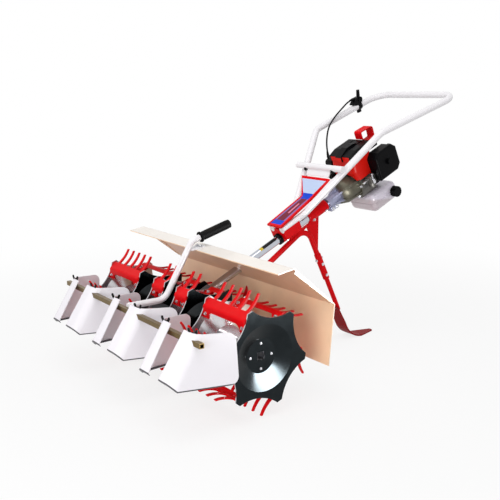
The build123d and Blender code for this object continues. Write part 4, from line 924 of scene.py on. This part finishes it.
strip_rows = [(station - STRIP_LOW) / (STRIP_HIGH - STRIP_LOW)
              for station in (STRIP_LOW, STRIP_YELLOW_END, STRIP_HIGH)]
strip_mesh = bent_sheet("tube_strip", strip_rows, STRIP_COLUMNS, strip_point)
finish, tree, shader, u, v = new_print("strip_print")
ink = blend_colour(tree, ramp(tree, v, *INK_CHANGES), STRIP_YELLOW, STRIP_BLACK)
dress(tree, shader, ink, 0.36, peel=1200.0, dusty=0.02)
mesh_piece("tube_strip", strip_mesh, finish, "frame")
print("tube strip:", len(strip_mesh.polygons), "faces")

# %% [markdown]
# Between the cowl and the air filter sits the carburettor: a small alloy block with a turned bowl
# below, a bright lever on its face and a stop screw. Bevelled blocks and lathe forms make it, because
# their soft edges catch the light as a casting's do.

# %% Carburettor
# each block is across, station and height, as (first, last) pairs, and its bevel, in mm
BODY_BLOCKS = (((44, 76), (834, 861), (-4, 24), 2.5), ((40, 60), (826, 866), (0, 18), 2.0))
LEVER_BLOCKS = (((77, 79), (842, 853), (-6, 34), 0.8), ((77, 84), (843, 852), (30, 33), 0.8))
BOWL = ((0, 0), (11, 0), (12, -2), (12, -15), (9, -19), (4, -20), (4, -23), (0, -23))
PIVOT = ((0, 0), (4.5, 0), (4.5, 3), (3.6, 4), (0, 4))
STOP_SCREW = ((0, 0), (2.2, 0), (2.2, 16), (4.6, 17), (4.6, 24), (3.8, 25), (0, 25))


def bevelled_blocks(rows):
    """A bmesh of bevelled blocks in the tube's own frame."""
    shape = bmesh.new()
    for *sides, bevel in rows:
        made = bmesh.ops.create_cube(shape, size=1.0)["verts"]
        for vertex in made:
            local = [(first + last) / 2 + v * (last - first) for (first, last), v in zip(sides, vertex.co)]
            vertex.co = on_tube(*local)
        rim = list(dict.fromkeys(edge for vertex in made for edge in vertex.link_edges))
        bmesh.ops.bevel(shape, geom=rim, offset=bevel * MM, segments=2, affect="EDGES", profile=0.6)
    return shape


body = bevelled_blocks(BODY_BLOCKS)
turned(body, BOWL, on_tube(61, 848, -4), ABOVE_TUBE)
mesh_piece("carburettor", as_mesh("carburettor", body), finishes["cast_alloy"], "frame")
lever = bevelled_blocks(LEVER_BLOCKS)
turned(lever, PIVOT, on_tube(79, 847.5, 8), ACROSS, 18)
turned(lever, STOP_SCREW, on_tube(62, 834, 12), -ALONG_TUBE, 18)
lever_mesh = as_mesh("carburettor_lever", lever)
mesh_piece("carburettor_lever", lever_mesh, finishes["bolt_zinc"], "frame")
print("carburettor lever:", len(lever_mesh.polygons), "faces")

# %% [markdown]
# The floor is a wide pale sheet. To the camera and in reflections it is mostly its own white, with a
# share of true shading left in, so that the machine keeps a soft shadow and the far edge melts away.

# %% Floor
FLOOR_HALF, FLOOR_GREY = 20.0, (0.80, 0.80, 0.80, 1.0)
WHITE_NEAR, NEAR, FAR = 0.80, 0.8, 2.4


def seen(tree):
    """One for rays that see a surface, straight, mirrored or through glass, and none for other light."""
    rays = node(tree, "ShaderNodeLightPath").outputs
    bent = calc(tree, "MAXIMUM", rays["Is Glossy Ray"], rays["Is Transmission Ray"])
    return calc(tree, "MAXIMUM", rays["Is Camera Ray"], bent)


shape = bmesh.new()
bmesh.ops.create_grid(shape, x_segments=4, y_segments=4, size=FLOOR_HALF)
mesh = bpy.data.meshes.new("studio_floor")
shape.to_mesh(mesh)
shape.free()
floor = bpy.data.objects.new("studio_floor", mesh)
scene.collection.objects.link(floor)
finish, tree, shader = new_finish("studio_floor")
tree.nodes.clear()
spot = node(tree, "ShaderNodeTexCoord").outputs["Object"]
reach = node(tree, "ShaderNodeVectorMath", {"Vector": spot}, operation="LENGTH").outputs["Value"]
share = calc(tree, "MULTIPLY", seen(tree), ramp(tree, reach, NEAR, FAR, WHITE_NEAR, 1.0))
shaded = node(tree, "ShaderNodeBsdfDiffuse", {"Color": FLOOR_GREY}).outputs["BSDF"]
glow = node(tree, "ShaderNodeEmission").outputs["Emission"]
mixed = node(tree, "ShaderNodeMixShader", {"Fac": share, "Shader": shaded, "Shader_001": glow})
node(tree, "ShaderNodeOutputMaterial", {"Surface": mixed.outputs["Shader"]})
mesh.materials.append(finish)
print("floor", 2 * FLOOR_HALF, "m square")

# %% [markdown]
# The light is a plain white room with one large soft lamp overhead and a weak fill from the front, which
# opens the shade under the guard. A short strip light beside the right disc is seen only in reflections:
# it puts the bright sweep in the lower half of the pressed dish.

# %% World and lamps
AMBIENT = 0.68
RIGHT_DISC = AXLE + ACROSS * HUB_FACES[0][0]
scene.world = world = bpy.data.worlds.new("studio")
world.use_nodes = True
tree = world.node_tree
room = tree.nodes["Background"].inputs
room["Color"].default_value = (1.0, 1.0, 1.0, 1.0)
tree.links.new(calc(tree, "MULTIPLY_ADD", seen(tree), 1.0 - AMBIENT, AMBIENT), room["Strength"])


def lamp(name, place, target, width, depth, power):
    """A soft rectangular lamp that the camera doesn't see."""
    data = bpy.data.lights.new(name, "AREA")
    data.shape = "RECTANGLE"
    data.size, data.size_y, data.energy = width, depth, power
    made = bpy.data.objects.new(name, data)
    made.location = place
    made.rotation_euler = (Vector(target) - Vector(place)).to_track_quat("-Z", "Y").to_euler()
    scene.collection.objects.link(made)
    made.visible_camera = False
    return made


key = lamp("overhead_softbox", (0.7, -0.9, 3.0), (0.0, 0.0, 0.3), width=2.2, depth=2.2, power=34.0)
fill = lamp("front_fill", (1.3, -2.6, 0.7), (0.1, -0.1, 0.25), width=1.6, depth=1.0, power=22.0)
fill.visible_glossy = False
sweep = lamp("side_strip", AXLE + Vector((0.88, 0.26, 0.135)), RIGHT_DISC, width=0.62, depth=0.17, power=24.0)
sweep.visible_diffuse = False
print("lamps:", key.name, fill.name, sweep.name)

# %% [markdown]
# Standard view keeps the colours as they are written.

# %% Finish
scene.view_settings.view_transform = "Standard"
